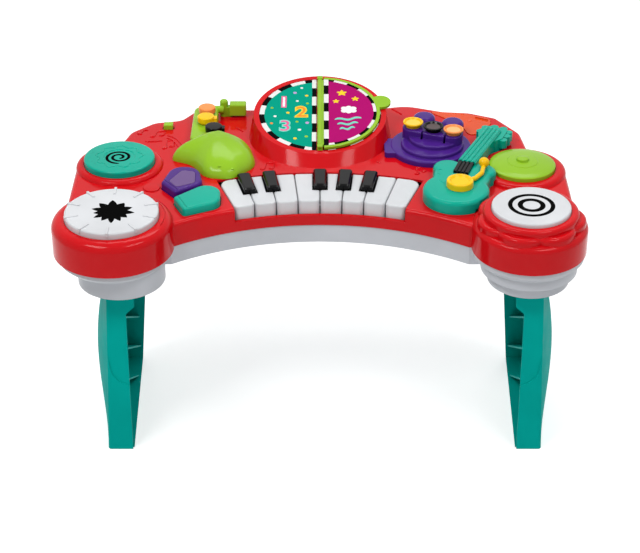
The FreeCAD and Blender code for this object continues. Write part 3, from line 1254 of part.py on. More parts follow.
os.makedirs("parts", exist_ok=True)
for name, build in PARTS.items():
    shape = build()
    bodies = len(shape.Solids)
    shape.exportStep(f"parts/{name}.step")
    print(f"{name}: {bodies} solid{'s' if bodies != 1 else ''}, {shape.Volume / 1000:.2f} cm3, "
          f"{'ok' if shape.isValid() else 'NOT VALID'}")
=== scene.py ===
import math

import bmesh
import bpy
import numpy as np
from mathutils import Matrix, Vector


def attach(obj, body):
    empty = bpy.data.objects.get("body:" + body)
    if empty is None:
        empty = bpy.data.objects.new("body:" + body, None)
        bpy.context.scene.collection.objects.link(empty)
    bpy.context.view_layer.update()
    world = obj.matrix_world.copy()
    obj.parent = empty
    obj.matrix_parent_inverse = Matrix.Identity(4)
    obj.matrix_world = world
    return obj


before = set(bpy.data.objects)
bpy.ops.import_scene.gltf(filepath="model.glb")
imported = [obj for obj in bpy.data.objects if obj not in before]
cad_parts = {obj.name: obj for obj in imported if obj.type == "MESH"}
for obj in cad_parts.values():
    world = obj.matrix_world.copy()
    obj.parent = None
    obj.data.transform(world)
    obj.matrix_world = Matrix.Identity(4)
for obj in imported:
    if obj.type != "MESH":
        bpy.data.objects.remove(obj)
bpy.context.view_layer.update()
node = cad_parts

# --- The room -------------------------------------------------------------
# A pale sweep of paper under the table, lit by wide soft lamps over both
# shoulders, a third one behind and an even pale surround.
sight = bpy.data.cameras.new("sight")
sight.lens = 101.25
sight.sensor_width = 36
sight.sensor_fit = "HORIZONTAL"
camera = bpy.data.objects.new("camera", sight)
camera.location = (0, -1.8168, 1.2344)
camera.rotation_euler = (math.radians(59), 0, 0)
bpy.context.scene.collection.objects.link(camera)
bpy.context.scene.camera = camera

bpy.context.scene.view_settings.view_transform = "Standard"


def seen_or_mirrored(nodes, links):
    """One for a ray that comes from the eye, from a mirrored surface or through a clear one, else none:
    the largest of the three flags."""
    ray = nodes.new("ShaderNodeLightPath")
    flag = ray.outputs["Is Camera Ray"]
    for other in ("Is Glossy Ray", "Is Transmission Ray"):
        larger = nodes.new("ShaderNodeMath")
        larger.operation = "MAXIMUM"
        links.new(flag, larger.inputs[0])
        links.new(ray.outputs[other], larger.inputs[1])
        flag = larger.outputs[0]
    return flag


sky = bpy.data.worlds.new("surround")
bpy.context.scene.world = sky
sky.use_nodes = True
sky_nodes, sky_links = sky.node_tree.nodes, sky.node_tree.links
sky_light = sky_nodes["Background"]
sky_light.inputs["Color"].default_value = (1, 1, 1, 1)
SKY_ON_OBJECTS, SKY_SEEN = 0.36, 1.0
seen = sky_nodes.new("ShaderNodeMapRange")
seen.inputs["To Min"].default_value = SKY_ON_OBJECTS
seen.inputs["To Max"].default_value = SKY_SEEN
sky_links.new(seen_or_mirrored(sky_nodes, sky_links), seen.inputs["Value"])
sky_links.new(seen.outputs["Result"], sky_light.inputs["Strength"])


LAMP_AIM = (0, 0, 0.2)


def soft_lamp(name, place, size, watts):
    """A rectangular area lamp at one point that faces the middle of the table."""
    lamp = bpy.data.lights.new(name, "AREA")
    lamp.shape = "RECTANGLE"
    lamp.size, lamp.size_y = size
    lamp.energy = watts
    stand = bpy.data.objects.new(name, lamp)
    stand.location = place
    stand.rotation_euler = (Vector(LAMP_AIM) - Vector(place)).to_track_quat("-Z", "Y").to_euler()
    bpy.context.scene.collection.objects.link(stand)


soft_lamp("lamp_left", (-0.85, -0.8, 1.85), (0.9, 0.38), 15.5)
soft_lamp("lamp_right", (0.85, -0.8, 1.85), (0.9, 0.38), 10)
soft_lamp("lamp_back", (0.1, 1.0, 2.0), (1.4, 0.7), 13.5)

PAPER_GLOW = 0.52
FLOOR_HALF = 9
paper = bpy.data.materials.new("paper")
paper.use_nodes = True
paper_nodes, paper_links = paper.node_tree.nodes, paper.node_tree.links
paper_nodes.remove(paper_nodes["Principled BSDF"])
paper_dull = paper_nodes.new("ShaderNodeBsdfDiffuse")
paper_dull.inputs["Color"].default_value = (0.86, 0.86, 0.86, 1)
paper_glow = paper_nodes.new("ShaderNodeEmission")
paper_strength = paper_nodes.new("ShaderNodeMath")
paper_strength.operation = "MULTIPLY"
paper_strength.inputs[1].default_value = PAPER_GLOW
paper_sum = paper_nodes.new("ShaderNodeAddShader")
paper_links.new(seen_or_mirrored(paper_nodes, paper_links), paper_strength.inputs[0])
paper_links.new(paper_strength.outputs[0], paper_glow.inputs["Strength"])
paper_links.new(paper_dull.outputs[0], paper_sum.inputs[0])
paper_links.new(paper_glow.outputs[0], paper_sum.inputs[1])
paper_links.new(paper_sum.outputs[0], paper_nodes["Material Output"].inputs["Surface"])
floor_mesh = bpy.data.meshes.new("floor")
floor_corners = [(x * FLOOR_HALF, y * FLOOR_HALF, 0) for x, y in ((-1, -1), (1, -1), (1, 1), (-1, 1))]
floor_mesh.from_pydata(floor_corners, [], [(0, 1, 2, 3)])
floor_mesh.materials.append(paper)
floor = bpy.data.objects.new("floor", floor_mesh)
bpy.context.scene.collection.objects.link(floor)


# --- The red top ----------------------------------------------------------
# One large injection moulding in glossy ABS, with raised drum housings and the
# ring of the picture book. Fine flow marks and a faint ripple show in its gloss.
DRIFT_SCALE, FLOW_SCALE, RIPPLE_SCALE = 14, 60, 420
EASED_EDGE = RIPPLE_DEPTH = 0.0006
WELD_REACH = 2e-6
CAD_CREASE, SURFACE_CREASE = math.radians(32), math.radians(40)


def tint(red, green, blue):
    """The linear colour of a screen colour given as 0 to 255: a power curve, straight near black."""
    return tuple(((c / 255 + 0.055) / 1.055) ** 2.4 if c > 10 else c / 255 / 12.92
                 for c in (red, green, blue)) + (1.0,)


def grain(nodes, links, place, scale, detail=2):
    """Noise on the object's own coordinates, as a value between none and one."""
    noise = nodes.new("ShaderNodeTexNoise")
    noise.inputs["Scale"].default_value = scale
    noise.inputs["Detail"].default_value = detail
    links.new(place.outputs["Object"], noise.inputs["Vector"])
    return noise.outputs["Fac"]


def moulded(name, colour, gloss=0.22, ripple=0.03, glow=0.0, clear=0.0, sheen=0.16):
    """Moulded plastic: the colour drifts by a few percent over a hand's width, the roughness drifts
    with finer flow marks, and a fine ripple bends the gloss; sharp edges are eased."""
    stuff = bpy.data.materials.new(name)
    stuff.use_nodes = True
    nodes, links = stuff.node_tree.nodes, stuff.node_tree.links
    skin = nodes["Principled BSDF"]
    place = nodes.new("ShaderNodeTexCoord")
    shade = nodes.new("ShaderNodeValToRGB")
    low, high = shade.color_ramp.elements
    low.position, high.position = 0.3, 0.7
    low.color = tuple(c * 0.93 for c in colour[:3]) + (1,)
    high.color = tuple(min(1, c * 1.05) for c in colour[:3]) + (1,)
    rough = nodes.new("ShaderNodeMapRange")
    rough.inputs["To Min"].default_value = gloss * 0.8
    rough.inputs["To Max"].default_value = gloss * 1.25
    eased = nodes.new("ShaderNodeBevel")
    eased.samples = 4
    eased.inputs["Radius"].default_value = EASED_EDGE
    bump = nodes.new("ShaderNodeBump")
    bump.inputs["Strength"].default_value = ripple
    bump.inputs["Distance"].default_value = RIPPLE_DEPTH
    links.new(grain(nodes, links, place, DRIFT_SCALE, 3), shade.inputs["Fac"])
    links.new(shade.outputs["Color"], skin.inputs["Base Color"])
    links.new(grain(nodes, links, place, FLOW_SCALE, 4), rough.inputs["Value"])
    links.new(rough.outputs["Result"], skin.inputs["Roughness"])
    links.new(grain(nodes, links, place, RIPPLE_SCALE), bump.inputs["Height"])
    links.new(eased.outputs["Normal"], bump.inputs["Normal"])
    links.new(bump.outputs["Normal"], skin.inputs["Normal"])
    skin.inputs["Specular IOR Level"].default_value = sheen
    if glow:
        skin.inputs["Subsurface Weight"].default_value = glow
        skin.inputs["Subsurface Radius"].default_value = (1, 1, 1)
        skin.inputs["Subsurface Scale"].default_value = 0.002
    if clear:
        skin.inputs["Transmission Weight"].default_value = clear
    return stuff


def dress(names, stuff):
    """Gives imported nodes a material, joins their loose triangles and smooths all but the sharp edges."""
    for name in names:
        piece = node[name]
        faces = piece.data.polygons
        piece.data.materials.clear()
        piece.data.materials.append(stuff)
        faces.foreach_set("use_smooth", np.ones(len(faces), bool))
        faces.foreach_set("material_index", np.zeros(len(faces), np.int32))
        piece.modifiers.new("join", "WELD").merge_threshold = WELD_REACH
        piece.modifiers.new("creases", "EDGE_SPLIT").split_angle = CAD_CREASE


red = moulded("red_abs", tint(210, 10, 20), 0.12, sheen=0.13)
dress(["top_housing"], red)


def seal(mesh):
    """Merges the points of a mesh that meet and turns its faces outward."""
    shell = bmesh.new()
    shell.from_mesh(mesh)
    bmesh.ops.remove_doubles(shell, verts=shell.verts, dist=1e-7)
    bmesh.ops.recalc_face_normals(shell, faces=shell.faces)
    shell.to_mesh(mesh)
    shell.free()


def bearings(count):
    """Even steps once round a circle, in radians."""
    return np.linspace(0, 2 * np.pi, count, endpoint=False)


def surface(name, points, stuff, body="table", round_rows=False, round_columns=False, smooth=True):
    """A mesh from a grid of points (rows, columns, 3); each flag joins the last row or column to the
    first. Rows that meet in a point are merged, and faces are turned outward."""
    rows, columns = points.shape[:2]
    index = np.arange(rows * columns).reshape(rows, columns)
    if round_rows:
        index = np.vstack([index, index[:1]])
    if round_columns:
        index = np.hstack([index, index[:, :1]])
    quads = np.stack([index[:-1, :-1], index[:-1, 1:], index[1:, 1:], index[1:, :-1]], -1).reshape(-1, 4)
    mesh = bpy.data.meshes.new(name)
    mesh.from_pydata(points.reshape(-1, 3).tolist(), [], quads.tolist())
    seal(mesh)
    mesh.polygons.foreach_set("use_smooth", np.full(len(mesh.polygons), smooth))
    mesh.materials.append(stuff)
    piece = bpy.data.objects.new(name, mesh)
    bpy.context.scene.collection.objects.link(piece)
    if smooth:
        piece.modifiers.new("creases", "EDGE_SPLIT").split_angle = SURFACE_CREASE
    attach(piece, body)
    return piece


LINE_STEPS = 24
BEAD_STEP, BEAD_SUNK, BEAD_FOOT = 0.0011, 0.0002, 0.0003


def eased_line(points):
    """A smooth line through a few points given in millimetres: the polynomial that meets them all at
    even values of its parameter."""
    points = np.array(points, float) / 1000
    at = np.linspace(0, 1, len(points))
    t = np.linspace(0, 1, LINE_STEPS)
    return np.stack([np.polyval(np.polyfit(at, points[:, k], len(points) - 1), t) for k in (0, 1)], -1)


def bead(name, path, width, height, stuff, base, body="table", closed=False):
    """A raised rounded line: half an ellipse carried along a path in plan, drawn in to nothing at both
    ends of an open one, with its foot sunk just under the surface that it stands on."""
    path = np.array(path, float)
    if closed:
        path = np.vstack([path, path[:1]])
    steps = np.concatenate([[0], np.cumsum(np.hypot(*np.diff(path, axis=0).T))])
    t = np.linspace(0, steps[-1], max(8, int(steps[-1] / BEAD_STEP)))
    line = np.stack([np.interp(t, steps, path[:, k]) for k in (0, 1)], -1)
    along = np.gradient(line, axis=0)
    if closed:
        line, along = line[:-1], (np.roll(line[:-1], -1, axis=0) - np.roll(line[:-1], 1, axis=0))
    along /= np.linalg.norm(along, axis=1, keepdims=True)
    side = np.stack([-along[:, 1], along[:, 0]], -1)
    swell = np.ones(len(line)) if closed else np.sqrt(np.clip(1 - (2 * t / t[-1] - 1) ** 8, 0, 1))
    turn = bearings(10)
    across = width / 2 * np.cos(turn)[None, :, None] * swell[:, None, None] * side[:, None]
    rise = np.clip(height * np.sin(turn), -BEAD_FOOT, None)[None, :, None] * swell[:, None, None]
    points = np.concatenate([line[:, None] + across, base - BEAD_SUNK + rise], -1)
    return surface(name, points, stuff, body, round_rows=closed, round_columns=True)


def drop(name, x, y, long, wide, high, lean, stuff, base):
    """A low rounded dome on an oval foot in millimetres: the upper part of an ellipsoid, turned in
    plan by the lean in degrees and sunk just under its surface."""
    turn, rise = np.meshgrid(bearings(20), np.linspace(-0.3, np.pi / 2, 7), indexing="ij")
    u, v = long * np.cos(turn) * np.cos(rise), wide * np.sin(turn) * np.cos(rise)
    cos, sin = math.cos(math.radians(lean)), math.sin(math.radians(lean))
    dome = np.stack([x + u * cos - v * sin, y + u * sin + v * cos, base * 1000 + high * np.sin(rise)], -1)
    under = np.broadcast_to(dome[:, :1].mean(axis=0), dome[:, :1].shape)
    return surface(name, np.concatenate([under, dome], 1) / 1000, stuff, round_rows=True)


DECK = 0.278
LINE_WIDE, LINE_HIGH = 0.0017, 0.0013
BEAM_WIDE, BEAM_HIGH = 0.0030, 0.0014
NOTE_WIDE, NOTE_HIGH = 2.6, 1.5
for count, line in enumerate([
        [(-181.9, 99.2), (-175.2, 95.8), (-168.2, 87.2), (-162.3, 71.1)],
        [(-182.6, 91.5), (-176, 88.7), (-170.3, 79.6), (-165.7, 68.3)],
        [(-207, 83.8), (-196.1, 83.5), (-185.4, 85.5)],
        [(-190.7, 55), (-184.8, 43.9), (-180.6, 30.3)]]):
    bead(f"stave_{count}", eased_line(line), LINE_WIDE, LINE_HIGH, red, DECK)
for count, (first, second, beam_from, beam_to) in enumerate([
        ((-198.2, 96.7), (-187.7, 100.1), (-193.6, 109.3), (-182.8, 111.6)),
        ((-181.8, 66.6), (-173.7, 71.1), (-180.9, 85.2), (-173.1, 87.2)),
        ((-65.7, 14.1), (-55.6, 15.4), (-61.7, 28.4), (-51.8, 29.7)),
        ((110.8, 2.5), (118.8, 8.6), (109.0, 15.6), (116.0, 17.2))]):
    for part, (head, tip) in enumerate([(first, beam_from), (second, beam_to)]):
        drop(f"note_{count}_head_{part}", *head, 3.4, NOTE_WIDE, NOTE_HIGH, 25, red, DECK)
        stem_foot = (head[0] + NOTE_WIDE, head[1] + 0.8)
        bead(f"note_{count}_stem_{part}", np.array([stem_foot, tip]) / 1000, LINE_WIDE, LINE_HIGH, red, DECK)
    bead(f"note_{count}_beam", np.array([beam_from, beam_to]) / 1000, BEAM_WIDE, BEAM_HIGH, red, DECK)
drop("flat_note_head", -214.5, 104.4, 3.5, NOTE_WIDE, NOTE_HIGH, -15, red, DECK)
for name, line, wide in (("flat_note_stem", [(-212, 105.4), (-209.6, 113), (-204.2, 112)], LINE_WIDE),
                         ("short_dash", [(65.2, 30.9), (69.7, 28.9)], 0.0019),
                         ("shelf_ridge_left", [(-101, 121.5), (-95, 114), (-90.8, 108.7)], 0.0020),
                         ("shelf_ridge_right", [(86.5, 173), (93.5, 164.6), (100.4, 154.9)], 0.0020)):
    bead(name, eased_line(line), wide, LINE_HIGH, red, DECK)

# --- The lower housing ----------------------------------------------------
# The pale half that closes the top from below, moulded in matt ABS with leg
# sockets, a battery door held by one captive screw, and the speaker's grille.
pale = moulded("pale_abs", tint(202, 205, 211), 0.38, 0.05, sheen=0.2)
dress(["base_housing", "battery_door", "key_rail"], pale)
steel = bpy.data.materials.new("steel")
steel.use_nodes = True
steel_nodes, steel_links = steel.node_tree.nodes, steel.node_tree.links
steel_skin = steel_nodes["Principled BSDF"]
steel_skin.inputs["Metallic"].default_value = 1.0
steel_skin.inputs["Roughness"].default_value = 0.3
steel_shade = steel_nodes.new("ShaderNodeValToRGB")
steel_shade.color_ramp.elements[0].color = tint(150, 152, 156)
steel_shade.color_ramp.elements[1].color = tint(200, 202, 206)
steel_place = steel_nodes.new("ShaderNodeTexCoord")
steel_links.new(grain(steel_nodes, steel_links, steel_place, 300), steel_shade.inputs["Fac"])
steel_links.new(steel_shade.outputs["Color"], steel_skin.inputs["Base Color"])
dress(["housing_screws", "battery_door_screw", "battery_contacts"], steel)
dress(["battery_cells"], moulded("cell_wrap", tint(60, 62, 70), 0.3))
dress(["main_board", "key_board", "pad_boards"], moulded("board_green", tint(20, 92, 52), 0.35))
black = moulded("black_abs", tint(5, 5, 6), 0.12, sheen=0.16)
dress(["speaker", "slide_switch"], black)
dress(["key_domes", "pad_domes"], moulded("dome_rubber", tint(205, 200, 190), 0.6))
dress(["light_lamps"], moulded("lamps", tint(235, 225, 215), 0.2))

# --- The legs -------------------------------------------------------------
# Two hollow panels in teal polypropylene, open towards the knees, each pushed
# up into its socket under a front drum.
dress(["leg_left", "leg_right"], moulded("leg_teal", tint(0, 170, 160), 0.5, 0.05, sheen=0.02))

# --- The piano keys -------------------------------------------------------
# Eight white keys with rounded fronts and five glossy black ones, all hollow
# mouldings that turn on pins behind the deck's edge.
white = moulded("white_abs", tint(214, 216, 219), 0.24, 0.03, glow=0.12, sheen=0.2)
dress([f"white_key_{n}" for n in range(1, 9)], white)
dress([f"black_key_{n}" for n in range(1, 6)], black)

# --- The drum pads --------------------------------------------------------
# Four pads that press down on switches: a ribbed white one with a printed burst,
# a white one with printed rings, a teal disc with a spiral and a lime cymbal.
dress(["snare_pad", "tom_pad"], white)
teal = moulded("teal_abs", tint(0, 172, 148), 0.17, sheen=0.13)
lime = moulded("lime_abs", tint(146, 194, 38), 0.17)
dress(["scratch_pad"], teal)
dress(["cymbal_pad"], lime)
ink = moulded("black_print", tint(3, 3, 3), 0.45, 0.01, sheen=0.005)
PRINT_THICK = 0.0002
PIN_HOLE = 0.0001
SNARE_MIDDLE, SNARE_PRINT = (-0.2235, -0.119), 0.29608
TOM_MIDDLE, TOM_PRINT = (0.228, -0.115), 0.30158
DISC_MIDDLE = (-0.230, 0.022)


def print_slab(name, inner, outer, centre, top, stuff, body):
    """A flat print between an inner and an outer outline, given as radii for even steps round a
    centre: a closed band a fifth of a millimetre thick, most of it sunk in the pad."""
    count = max(np.size(inner), np.size(outer), 96)
    turn = bearings(count)
    inner, outer = np.broadcast_to(inner, count), np.broadcast_to(outer, count)
    radii = np.stack([inner, outer, outer, inner], 1)
    levels = np.array([top, top, top - PRINT_THICK, top - PRINT_THICK])
    points = np.stack([centre[0] + radii * np.cos(turn)[:, None], centre[1] + radii * np.sin(turn)[:, None],
                       np.broadcast_to(levels, radii.shape)], -1)
    return surface(name, points, stuff, body, round_rows=True, round_columns=True, smooth=False)


def burst(tips, valley, steps=720):
    """The radius of an uneven star at even bearings: straight runs, by bearing, between the given
    points (degrees, reach) and a valley halfway between each pair of them."""
    bearing, reach = np.array(tips, float).T
    order = np.argsort(bearing % 360)
    bearing, reach = (bearing % 360)[order], reach[order]
    gaps = (np.roll(bearing, -1) - bearing) % 360
    at = np.stack([bearing, bearing + gaps / 2], 1).ravel()
    radius = np.stack([reach, np.full(len(reach), valley)], 1).ravel()
    return np.interp(np.linspace(0, 360, steps, endpoint=False), np.concatenate([at - 360, at, at + 360]),
                     np.tile(radius, 3)) / 1000


BURST_TIPS = [(95, 25.5), (60, 22), (24, 22.5), (-6, 24), (-38, 21.5), (-64, 23.5), (-88, 26), (-116, 22.5),
              (-144, 23.5), (-170, 20.5), (166, 24), (131, 24.5)]
print_slab("burst_print", PIN_HOLE, burst(BURST_TIPS, 16.0), SNARE_MIDDLE, SNARE_PRINT, ink, "snare_pad")
print_slab("ring_print_outer", 0.0206, 0.0254, TOM_MIDDLE, TOM_PRINT, ink, "tom_pad")
print_slab("ring_print_inner", 0.0094, 0.0150, TOM_MIDDLE, TOM_PRINT, ink, "tom_pad")

# the spiral runs inward at an even rate and keeps its width up to its ends
SPIRAL_TURNS, SPIRAL_START = 2.0, -85
SPIRAL_OUTER, SPIRAL_RUN, SPIRAL_HALF = 0.0158, 0.0130, 0.0017
SPIRAL_TOP, SPIRAL_FOOT = 0.28928, 0.2891
share = np.linspace(0, 1, 240)
spiral_turn = np.radians(SPIRAL_START - SPIRAL_TURNS * 360 * share)
spiral_r = SPIRAL_OUTER - SPIRAL_RUN * share
spiral_half = SPIRAL_HALF * np.sqrt(np.clip(1 - (2 * share - 1) ** 40, 0, 1)) + 1e-6
spiral = []
for side, level in ((-1, SPIRAL_TOP), (1, SPIRAL_TOP), (1, SPIRAL_FOOT), (-1, SPIRAL_FOOT)):
    reach = spiral_r + side * spiral_half
    spiral.append(np.stack([DISC_MIDDLE[0] + reach * np.cos(spiral_turn), DISC_MIDDLE[1] + reach * np.sin(spiral_turn),
                            np.full(share.shape, level)], -1))
surface("spiral_print", np.stack(spiral, 1), ink, "scratch_pad", round_columns=True, smooth=False)

# a low wave of nine swings round the disc
WAVE_MIDDLE_R, WAVE_SWING, WAVE_COUNT = 0.0252, 0.0022, 9
turn = bearings(260)
wave_r = WAVE_MIDDLE_R + WAVE_SWING * np.sin(WAVE_COUNT * turn)
bead("disc_wave", np.stack([DISC_MIDDLE[0] + wave_r * np.cos(turn), DISC_MIDDLE[1] + wave_r * np.sin(turn)], -1),
     0.0016, 0.0008, teal, 0.290, "scratch_pad", closed=True)

# --- The horn -------------------------------------------------------------
# A lime moulding: a smooth teardrop bell, a valve block and a mouthpiece, with
# three round keys in orange, yellow and black.
dress(["horn_body", "horn_bell"], lime)
yellow = moulded("yellow_abs", tint(255, 200, 12), 0.2)
peach = moulded("orange_abs", tint(252, 152, 78), 0.22)
dress(["horn_key_1"], peach)
dress(["horn_key_2"], yellow)
dress(["horn_key_3"], black)
drop("bell_mark_left", -113.7, -2.3, 2.4, 1.5, 0.7, 30, lime, 0.2903)
drop("bell_mark_right", -99.5, -3.6, 2.2, 1.4, 0.9, -20, lime, 0.2874)

# --- The drum kit ---------------------------------------------------------
# A purple stepped mound with two round ears and three thin rimmed buttons, whose
# dishes are lined with thin discs in paler colours.
purple = moulded("purple_abs", tint(72, 32, 132), 0.18, sheen=0.14)
dress(["kit_body"], purple)
dress(["kit_disc_1"], yellow)
dress(["kit_disc_2"], black)
dress(["kit_disc_3"], peach)
LINING_R, LINING_TOP = 0.0082, 0.30435
for number, middle, paler in ((1, (0.109, 0.081), tint(255, 216, 84)), (2, (0.132, 0.070), tint(92, 78, 78)),
                              (3, (0.155, 0.062), tint(255, 196, 128))):
    lining = moulded(f"kit_lining_{number}", paler, 0.24, 0.02, sheen=0.12)
    print_slab(f"kit_lining_{number}", PIN_HOLE, LINING_R, middle, LINING_TOP, lining, f"kit_disc_{number}")

# --- The guitar -----------------------------------------------------------
# A teal moulding with a ribbed black block for its strings and a yellow knob
# with a bent arm that turns on a shaft.
dress(["guitar_body"], teal)
dress(["guitar_strings"], black)
dress(["guitar_lever"], yellow)
GUITAR_TOP = 0.293
for place, line in (("top", [(131.6, -16.4), (134.7, -15.2), (138.1, -16.6)]),
                    ("middle", [(131.4, -24.8), (135.5, -27.7)]), ("low", [(132.5, -41.6), (138.9, -49.4)])):
    bead(f"guitar_mark_{place}", eased_line(line), 0.0012, 0.0007, teal, GUITAR_TOP)

# --- The pedals and the power slider --------------------------------------
# Two pedals that dip at their rounded ends, the purple one with a clear violet
# inset, and a small lime slider at the back.
dress(["purple_pedal"], moulded("pedal_purple", tint(72, 28, 126), 0.24))
dress(["pedal_window"], moulded("violet_clear", tint(116, 84, 146), 0.32, clear=0.2))
dress(["teal_pedal"], teal)
dress(["power_slider"], lime)

# --- The light cover ------------------------------------------------------
# An orange translucent cover let into the deck at the back over three lamps.
amber = moulded("orange_clear", tint(244, 84, 24), 0.2, clear=0.15)
dress(["light_cover"], amber)
drop("cover_mark_left", 172.1, 156.6, 2.6, 1.8, 0.7, 30, amber, 0.2788)
drop("cover_mark_right", 180.4, 137.9, 2.6, 2.2, 0.7, 0, amber, 0.2788)

# --- The picture book -----------------------------------------------------
# Two printed half-round cards in the ring and a turning leaf in a lime frame
# with cards on both faces; a black and white dashed border runs round each.
TILT = math.radians(9.8)
BOOK_MIDDLE = (0, 0.1054, 0.3053)
ARC_PAIR, SPINE_PAIR = math.pi / 6, 0.0358
magenta, sea = tint(176, 16, 108), tint(0, 156, 130)


def page_print(name, rim, spine, by_face):
    """Printed card: plain ground inside a band of black and white dashes. On the arc they go by
    bearing, fifteen degrees each, and beside the spine by distance. The left half, or the under face
    of a leaf, has the sea-green ground and dashes that are half a step on."""
    stuff = moulded(name, magenta, 0.36, 0.02, sheen=0.012)
    nodes, links = stuff.node_tree.nodes, stuff.node_tree.links
    skin = nodes["Principled BSDF"]
    flat = nodes.new("ShaderNodeMapping")
    flat.vector_type = "TEXTURE"
    flat.inputs["Location"].default_value = BOOK_MIDDLE
    flat.inputs["Rotation"].default_value = (TILT, 0, 0)
    links.new(next(n for n in nodes if n.type == "TEX_COORD").outputs["Object"], flat.inputs["Vector"])
    parts = nodes.new("ShaderNodeSeparateXYZ")
    links.new(flat.outputs["Vector"], parts.inputs[0])

    def work(operation, first, second=0.0):
        step = nodes.new("ShaderNodeMath")
        step.operation = operation
        for socket, value in zip(step.inputs, (first, second)):
            if isinstance(value, float):
                socket.default_value = value
            else:
                links.new(value, socket)
        return step.outputs[0]

    def mix(share, first, second):
        step = nodes.new("ShaderNodeMix")
        step.data_type = "RGBA"
        links.new(share, step.inputs["Factor"])
        for socket, value in zip((step.inputs["A"], step.inputs["B"]), (first, second)):
            if isinstance(value, tuple):
                socket.default_value = value
            else:
                links.new(value, socket)
        return step.outputs["Result"]

    x, y, z = parts.outputs
    reach = work("SQRT", work("ADD", work("MULTIPLY", x, x), work("MULTIPLY", y, y)))
    on_arc = work("GREATER_THAN", reach, rim)
    by_spine = work("LESS_THAN", work("ABSOLUTE", x), spine)
    turns = work("DIVIDE", work("ADD", work("ARCTAN2", y, x), 2 * math.pi), ARC_PAIR)
    flip = work("LESS_THAN", z if by_face else x, 0.0)
    arc_step = work("FRACT", work("ADD", turns, work("MULTIPLY", flip, 0.5)))
    arc_black = work("GREATER_THAN", arc_step, 0.5)
    spine_step = work("FRACT", work("DIVIDE", work("ADD", y, 2 * SPINE_PAIR), SPINE_PAIR))
    spine_black = work("LESS_THAN", spine_step, 0.5)
    dark = work("ADD", work("MULTIPLY", by_spine, spine_black),
                work("MULTIPLY", work("SUBTRACT", 1.0, by_spine), arc_black))
    ground_now = mix(flip, skin.inputs["Base Color"].links[0].from_socket, sea)
    dashes = mix(dark, tint(232, 232, 230), tint(3, 3, 3))
    links.new(mix(work("MAXIMUM", on_arc, by_spine), ground_now, dashes), skin.inputs["Base Color"])
    return stuff


dress(["book_leaf", "book_spine"], lime)
dress(["book_cards"], page_print("card_print", rim=0.0657, spine=0.0094, by_face=False))
dress(["leaf_cards"], page_print("leaf_print", rim=0.0632, spine=0.0102, by_face=True))


def laid_on_page(points):
    """Points given in the page's own plane are turned by its tilt and put at the book's middle."""
    cos, sin = math.cos(TILT), math.sin(TILT)
    u, v, w = np.moveaxis(np.array(points, float), -1, 0)
    return np.stack([BOOK_MIDDLE[0] + u, BOOK_MIDDLE[1] + v * cos - w * sin, BOOK_MIDDLE[2] + v * sin + w * cos], -1)


def cut_out(name, radius, middle, level, stuff, body="table"):
    """A flat printed shape on a page: radii (millimetres) for even steps round a middle, closed above
    and below, a fifth of a millimetre thick, with its foot sunk in the card."""
    turn = bearings(len(radius))
    rings = np.stack([np.zeros(len(radius)), radius, radius, np.zeros(len(radius))], 1) / 1000
    u = middle[0] / 1000 + rings * np.cos(turn)[:, None]
    v = middle[1] / 1000 + rings * np.sin(turn)[:, None]
    w = np.broadcast_to(np.array([level, level, level - PRINT_THICK, level - PRINT_THICK]), rings.shape)
    return surface(name, laid_on_page(np.stack([u, v, w], -1)), stuff, body, round_rows=True, smooth=False)


BAR_HALF, BAR_SWING, BAR_WAVES, BAR_STEPS = 1.9, 1.7, 1.5, 60


def wavy_bar(name, start, finish, level, stuff, body):
    """A flat printed wave on a page: a line from start to finish, pushed sideways by a sine, with a
    width that closes at its ends, as a slab a fifth of a millimetre thick."""
    share = np.linspace(0, 1, BAR_STEPS)
    start, finish = np.array(start, float), np.array(finish, float)
    along = (finish - start) / np.linalg.norm(finish - start)
    side = np.array([-along[1], along[0]])
    half = BAR_HALF * np.sqrt(np.clip(1 - (2 * share - 1) ** 6, 0, 1))
    swing = BAR_SWING * np.sin(2 * np.pi * BAR_WAVES * share)
    middle = start + (finish - start) * share[:, None] + swing[:, None] * side
    edges = [middle + sign * half[:, None] * side for sign in (-1, 1, 1, -1)]
    levels = [level, level, level - PRINT_THICK, level - PRINT_THICK]
    grid = np.stack([np.concatenate([edge / 1000, np.full((BAR_STEPS, 1), w)], -1)
                     for edge, w in zip(edges, levels)], 1)
    return surface(name, laid_on_page(grid), stuff, body, round_columns=True, smooth=False)


print_yellow, print_pink, print_mint, print_lilac, print_white, print_orange = (
    moulded(f"print_{name}", tint(*colour), 0.4, 0.02, sheen=0.1) for name, colour in (
        ("yellow", (246, 208, 30)), ("pink", (236, 96, 150)), ("mint", (120, 214, 196)),
        ("lilac", (190, 160, 214)), ("white", (238, 238, 236)), ("orange", (242, 136, 48))))
turn = bearings(120)
dot = np.ones(36)
star = burst([(90 + 72 * n, 1000.0) for n in range(5)], 450.0, 120)
cloud = 5.8 + 1.9 * np.abs(np.sin(3 * turn)) + 2.6 * np.cos(turn) ** 2

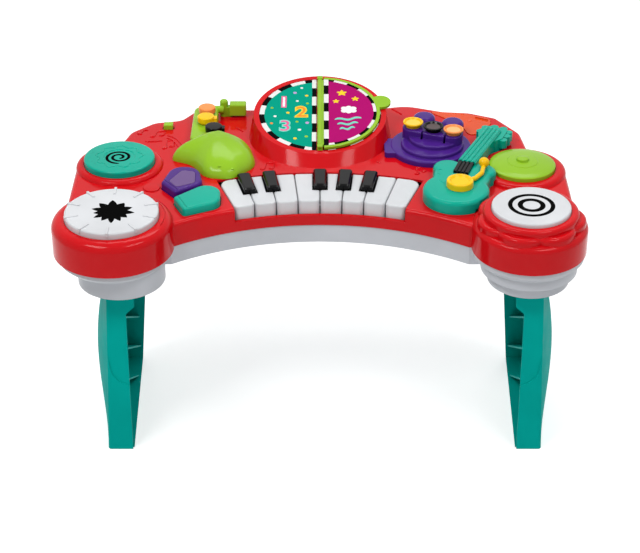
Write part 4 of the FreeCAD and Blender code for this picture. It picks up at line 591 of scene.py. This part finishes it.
CARD_TOP, LEAF_TOP, LEAF_UNDER = -0.00235, 0.00155, -0.00135
DIGIT_SIZE, DIGIT_EDGE, DIGIT_STEP = 0.029, 0.060, 0.00008
DIGIT_EXTRUDE, DIGIT_HALF_THICK = 0.005, 0.0001
for digit, (u, v), edge_paint, face_paint in (("1", (-43, 24), print_pink, print_white),
                                              ("2", (-22, 4), print_yellow, print_orange),
                                              ("3", (-41, -24), print_mint, print_pink)):
    for layer, (part, swell, level, paint) in enumerate([("edge", DIGIT_EDGE, CARD_TOP, edge_paint),
                                                         ("face", 0.0, CARD_TOP + DIGIT_STEP, face_paint)]):
        figure = bpy.data.curves.new(f"digit_{digit}", "FONT")
        figure.body = digit
        figure.align_x, figure.align_y = "CENTER", "CENTER"
        figure.size = 1.0
        figure.extrude = DIGIT_EXTRUDE
        figure.offset = swell
        figure.resolution_u = 6
        drawn = bpy.data.objects.new("drawn", figure)
        mesh = bpy.data.meshes.new_from_object(drawn)
        bpy.data.objects.remove(drawn)
        corners = np.empty(len(mesh.vertices) * 3)
        mesh.vertices.foreach_get("co", corners)
        corners = corners.reshape(-1, 3) * (DIGIT_SIZE, DIGIT_SIZE, DIGIT_HALF_THICK / DIGIT_EXTRUDE)
        corners += (u / 1000, v / 1000, level - DIGIT_HALF_THICK)
        mesh.vertices.foreach_set("co", laid_on_page(corners).ravel())
        mesh.name = f"digit_{digit}_{layer}"
        mesh.materials.clear()
        mesh.materials.append(paint)
        seal(mesh)
        piece = bpy.data.objects.new(f"digit_{digit}_{part}", mesh)
        bpy.context.scene.collection.objects.link(piece)
        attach(piece, "table")
for count, (u, v, r, stuff) in enumerate([
        (-30, 44, 2.2, print_lilac), (-27, 27, 1.7, print_white), (-57, 13, 1.8, lime), (-38, 3, 2.0, print_yellow),
        (-53, -4, 1.9, print_white), (-15, -17, 2.2, print_lilac), (-27, -15, 1.8, lime), (-57, -18, 1.8, print_orange),
        (-24, -31, 2.1, print_white), (-16, -44, 2.0, lime), (-29, -48, 2.1, print_yellow), (-15, 22, 1.8, lime),
        (-16, 38, 2.0, print_yellow), (-22, 54, 1.8, print_white)]):
    cut_out(f"page_dot_{count}", dot * r, (u, v), CARD_TOP, stuff)
for count, (u, v, r) in enumerate([(26, 38, 6.5), (42, 26, 5.0), (19, 21, 4.4)]):
    cut_out(f"page_star_{count}", star * r, (u, v), LEAF_TOP, print_yellow, "book_leaf")
cut_out("page_cloud", cloud, (34, 4), LEAF_TOP, print_white, "book_leaf")
for count in range(3):
    wavy_bar(f"page_wave_{count}", (17 + 3 * count, -16 - 9.5 * count), (49 - 4 * count, -13 - 9.5 * count), LEAF_TOP,
             print_mint, "book_leaf")
for count, (u, v, r) in enumerate([(30, 30, 7.0), (42, -4, 6.0), (24, -26, 7.5)]):
    cut_out(f"base_star_{count}", star * r, (u, v), CARD_TOP, print_orange)
    cut_out(f"under_dot_{count}", dot * r * 0.8, (u, v * 0.9), LEAF_UNDER, print_white, "book_leaf")
